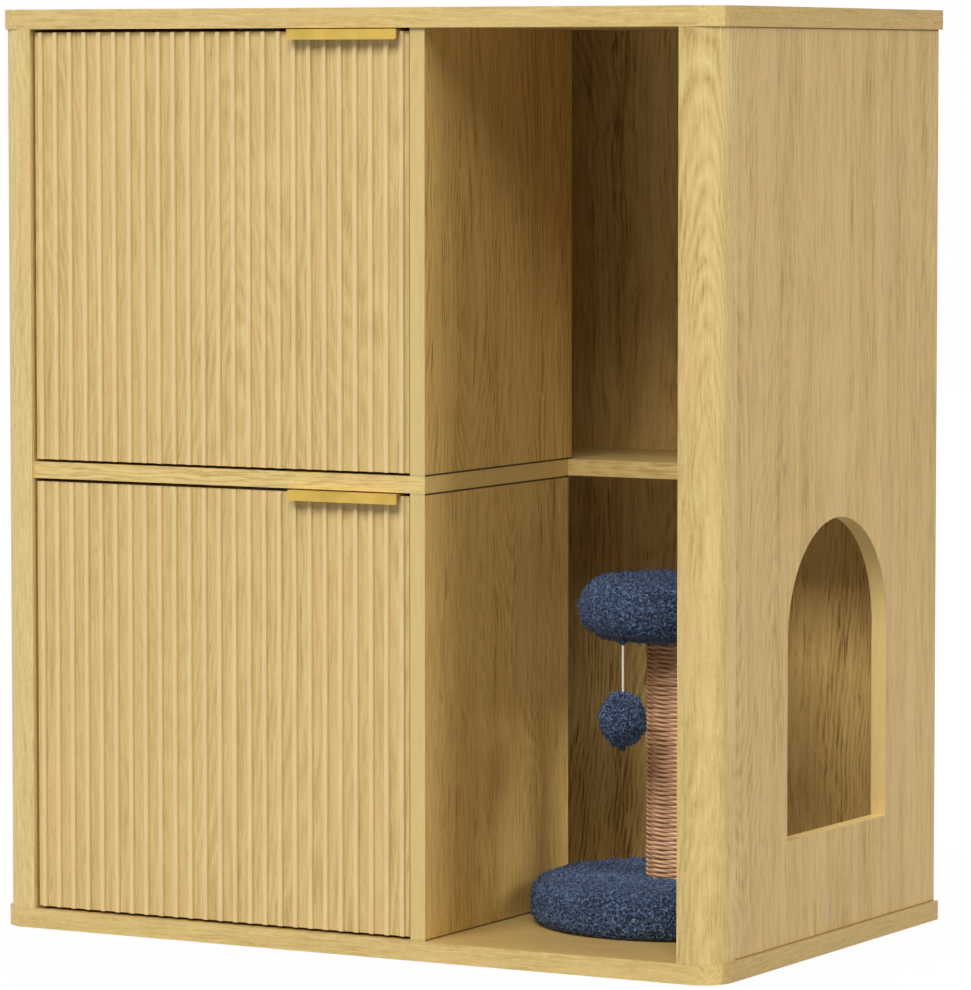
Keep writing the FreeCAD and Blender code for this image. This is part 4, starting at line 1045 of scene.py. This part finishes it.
for name, cover_name, seed in (("base_pile_curls", "base_plush_cover", 11),
                               ("platform_pile_curls", "platform_plush_cover", 12)):
    cover, hidden = covers[cover_name]

    def bare(spot):
        at_rope = from_post(spot) < ROPE_BORE + ROPE_ROOM and spot.z < 0.3
        return hidden(spot) or at_rope or spot.z < BARE_FOOT

    curls = loose_curls(name, cover, 5200 // SPARSE, 0.0034, 0.0010, seed, bare)
    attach(curls, "carcass")
ball_curls = loose_curls("toy_pile_curls", toy, 900 // SPARSE, 0.0028, 0.0009, 13,
                         lambda spot: (spot - BALL_MIDDLE).xy.length < STRING_ROOM)
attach(ball_curls, "hanging_toy")

# %% [markdown]
# ## Rope and string
# The scratching post is wound with sisal cord. On the real post the turns are never quite even:
# they lean, bunch and leave dark grooves. The Screw modifier carries a ring of points round the
# post and raises it a little at each step, which makes the whole winding in one go.

# %% The sisal winding
ROPE_LOW, ROPE_HIGH = 0.0542, 0.2795
ROPE_TURNS = 53
ROPE_STEPS = 120
ROPE_SIDES = 9
ROPE_MIDDLE_RADIUS = 0.02545
ROPE_THICKNESS = 0.0042
ROPE_PITCH = (ROPE_HIGH - ROPE_LOW - ROPE_THICKNESS) / ROPE_TURNS


def sisal_winding(name):
    """One cord wound on the post from its foot to its head, open at both ends."""
    ring = bmesh.new()
    bmesh.ops.create_circle(ring, segments=ROPE_SIDES, radius=ROPE_THICKNESS / 2)
    bmesh.ops.rotate(ring, verts=ring.verts, cent=(0, 0, 0), matrix=Matrix.Rotation(math.pi / 2, 3, "X"))
    bmesh.ops.translate(ring, verts=ring.verts, vec=(ROPE_MIDDLE_RADIUS, 0, ROPE_LOW + ROPE_THICKNESS / 2))
    piece = mesh_object(name, ring)
    screwed(piece, 2 * math.pi, ROPE_PITCH, ROPE_STEPS, ROPE_TURNS)
    return piece


rope = sisal_winding("sisal_winding")
print("rope", len(rope.data.vertices), "points")

# %% [markdown]
# The rings follow each other along the cord, so one ring's number says how far along it is. Three
# swellings turn with the strands, so it looks laid, and a slow noise lifts, drops and thickens it.

# %% Strands and unevenness
STRAND_TURNS = 9.0
STRAND_SWELL = 0.12
UNEVEN_SWELL = 0.10
UNEVEN_RISE = 0.0009


def lay_strands(piece):
    """Swells each ring in three places, makes the turns uneven, and notes the strands for painted shade."""
    mesh = piece.data
    places = np.empty(len(mesh.vertices) * 3)
    mesh.vertices.foreach_get("co", places)
    rings = places.reshape(-1, ROPE_SIDES, 3)
    middles = rings.mean(axis=1, keepdims=True)
    steps = np.arange(len(rings))
    around = np.arange(ROPE_SIDES) * (2 * math.pi / ROPE_SIDES)
    lay = steps[:, None] * (2 * math.pi * STRAND_TURNS / ROPE_STEPS)
    swell = np.cos(STRANDS * around[None, :] + lay)
    sway = np.array([noise.noise(Vector((step * 0.05, 0.3, step * 0.0011))) for step in steps])
    thick = np.array([noise.noise(Vector((2.1, step * 0.09, 4.4))) for step in steps])
    ends = np.minimum(1, np.minimum(steps, steps[::-1]) / ROPE_STEPS)
    size = 1 + STRAND_SWELL * swell + (UNEVEN_SWELL * thick * ends)[:, None]
    rings[:] = middles + (rings - middles) * size[:, :, None]
    rings[:, :, 2] += (UNEVEN_RISE * sway * ends)[:, None]
    mesh.vertices.foreach_set("co", rings.reshape(-1))
    # The strand value lets the material paint shade in the grooves between strands.
    strand_shade = mesh.attributes.new("strand", "FLOAT", "POINT")
    strand_shade.data.foreach_set("value", (swell * 0.5 + 0.5).reshape(-1))
    mesh.update()


lay_strands(rope)
close_ends(rope, ROPE_SIDES)
rope.data.transform(Matrix.Translation(POST_MIDDLE))
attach(rope, "carcass")
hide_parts("sisal_rope")
print("rope laid")

# %% [markdown]
# Sisal is a dry, pinkish brown fibre with loose ends. Its colour changes slowly along the cord and quickly
# across it, and the grooves between the strands carry a painted shade. The string is bleached cotton, and its
# tie and knot are bound in thread of the plush's colour.

# %% Sisal and string materials
def fibre_cord(name, stops, strand_shade_name=None):
    """A dry fibre whose tone follows two noises, and painted shade between strands where a piece has them."""
    paint, tree, shader = new_material(name)
    fibres = noise_of(tree, stretched(tree, (1, 1, 2.2)), scale=700, detail=4, roughness=0.7)
    patches = noise_of(tree, stretched(tree, (1, 1, 3), 4.0), scale=55)
    level = arithmetic(tree, "ADD", arithmetic(tree, "MULTIPLY", fibres, 0.6),
                       arithmetic(tree, "MULTIPLY", patches, 0.45))
    if strand_shade_name:
        strand = add_node(tree, "Attribute", {}, attribute_name=strand_shade_name).outputs["Fac"]
        # Painted shade in the grooves between the strands.
        level = arithmetic(tree, "ADD", level, arithmetic(tree, "MULTIPLY_ADD", strand, 0.3, -0.15))
    set_inputs(tree, shader, {"Base Color": ramp(tree, level, stops), "Roughness": 0.82})
    bumped(tree, shader, fibres, 0.7, 0.0005)
    return paint


sisal_fibre = fibre_cord("sisal_fibre", [(0.26, srgb(120, 82, 58)), (0.44, srgb(184, 138, 102)),
                                         (0.6, srgb(220, 176, 138)), (0.78, srgb(244, 216, 184))], "strand")
white_string = fibre_cord("white_string", [(0.3, srgb(222, 216, 202)), (0.5, srgb(242, 238, 228)),
                                           (0.7, srgb(250, 248, 242))])
navy_thread = fibre_cord("navy_thread", [(0.3, srgb(20, 28, 44)), (0.5, srgb(40, 54, 80)),
                                         (0.7, srgb(66, 84, 112))])
rope.data.materials.append(sisal_fibre)
string.data.materials.append(white_string)
for node in ("string_tie", "toy_knot"):
    finish_node(node, navy_thread)
print("rope and string finished")

# %% [markdown]
# ## Last settings
# Standard view keeps every colour as it was written.

# %% View and finish
bpy.context.scene.view_settings.view_transform = "Standard"
bpy.context.view_layer.update()
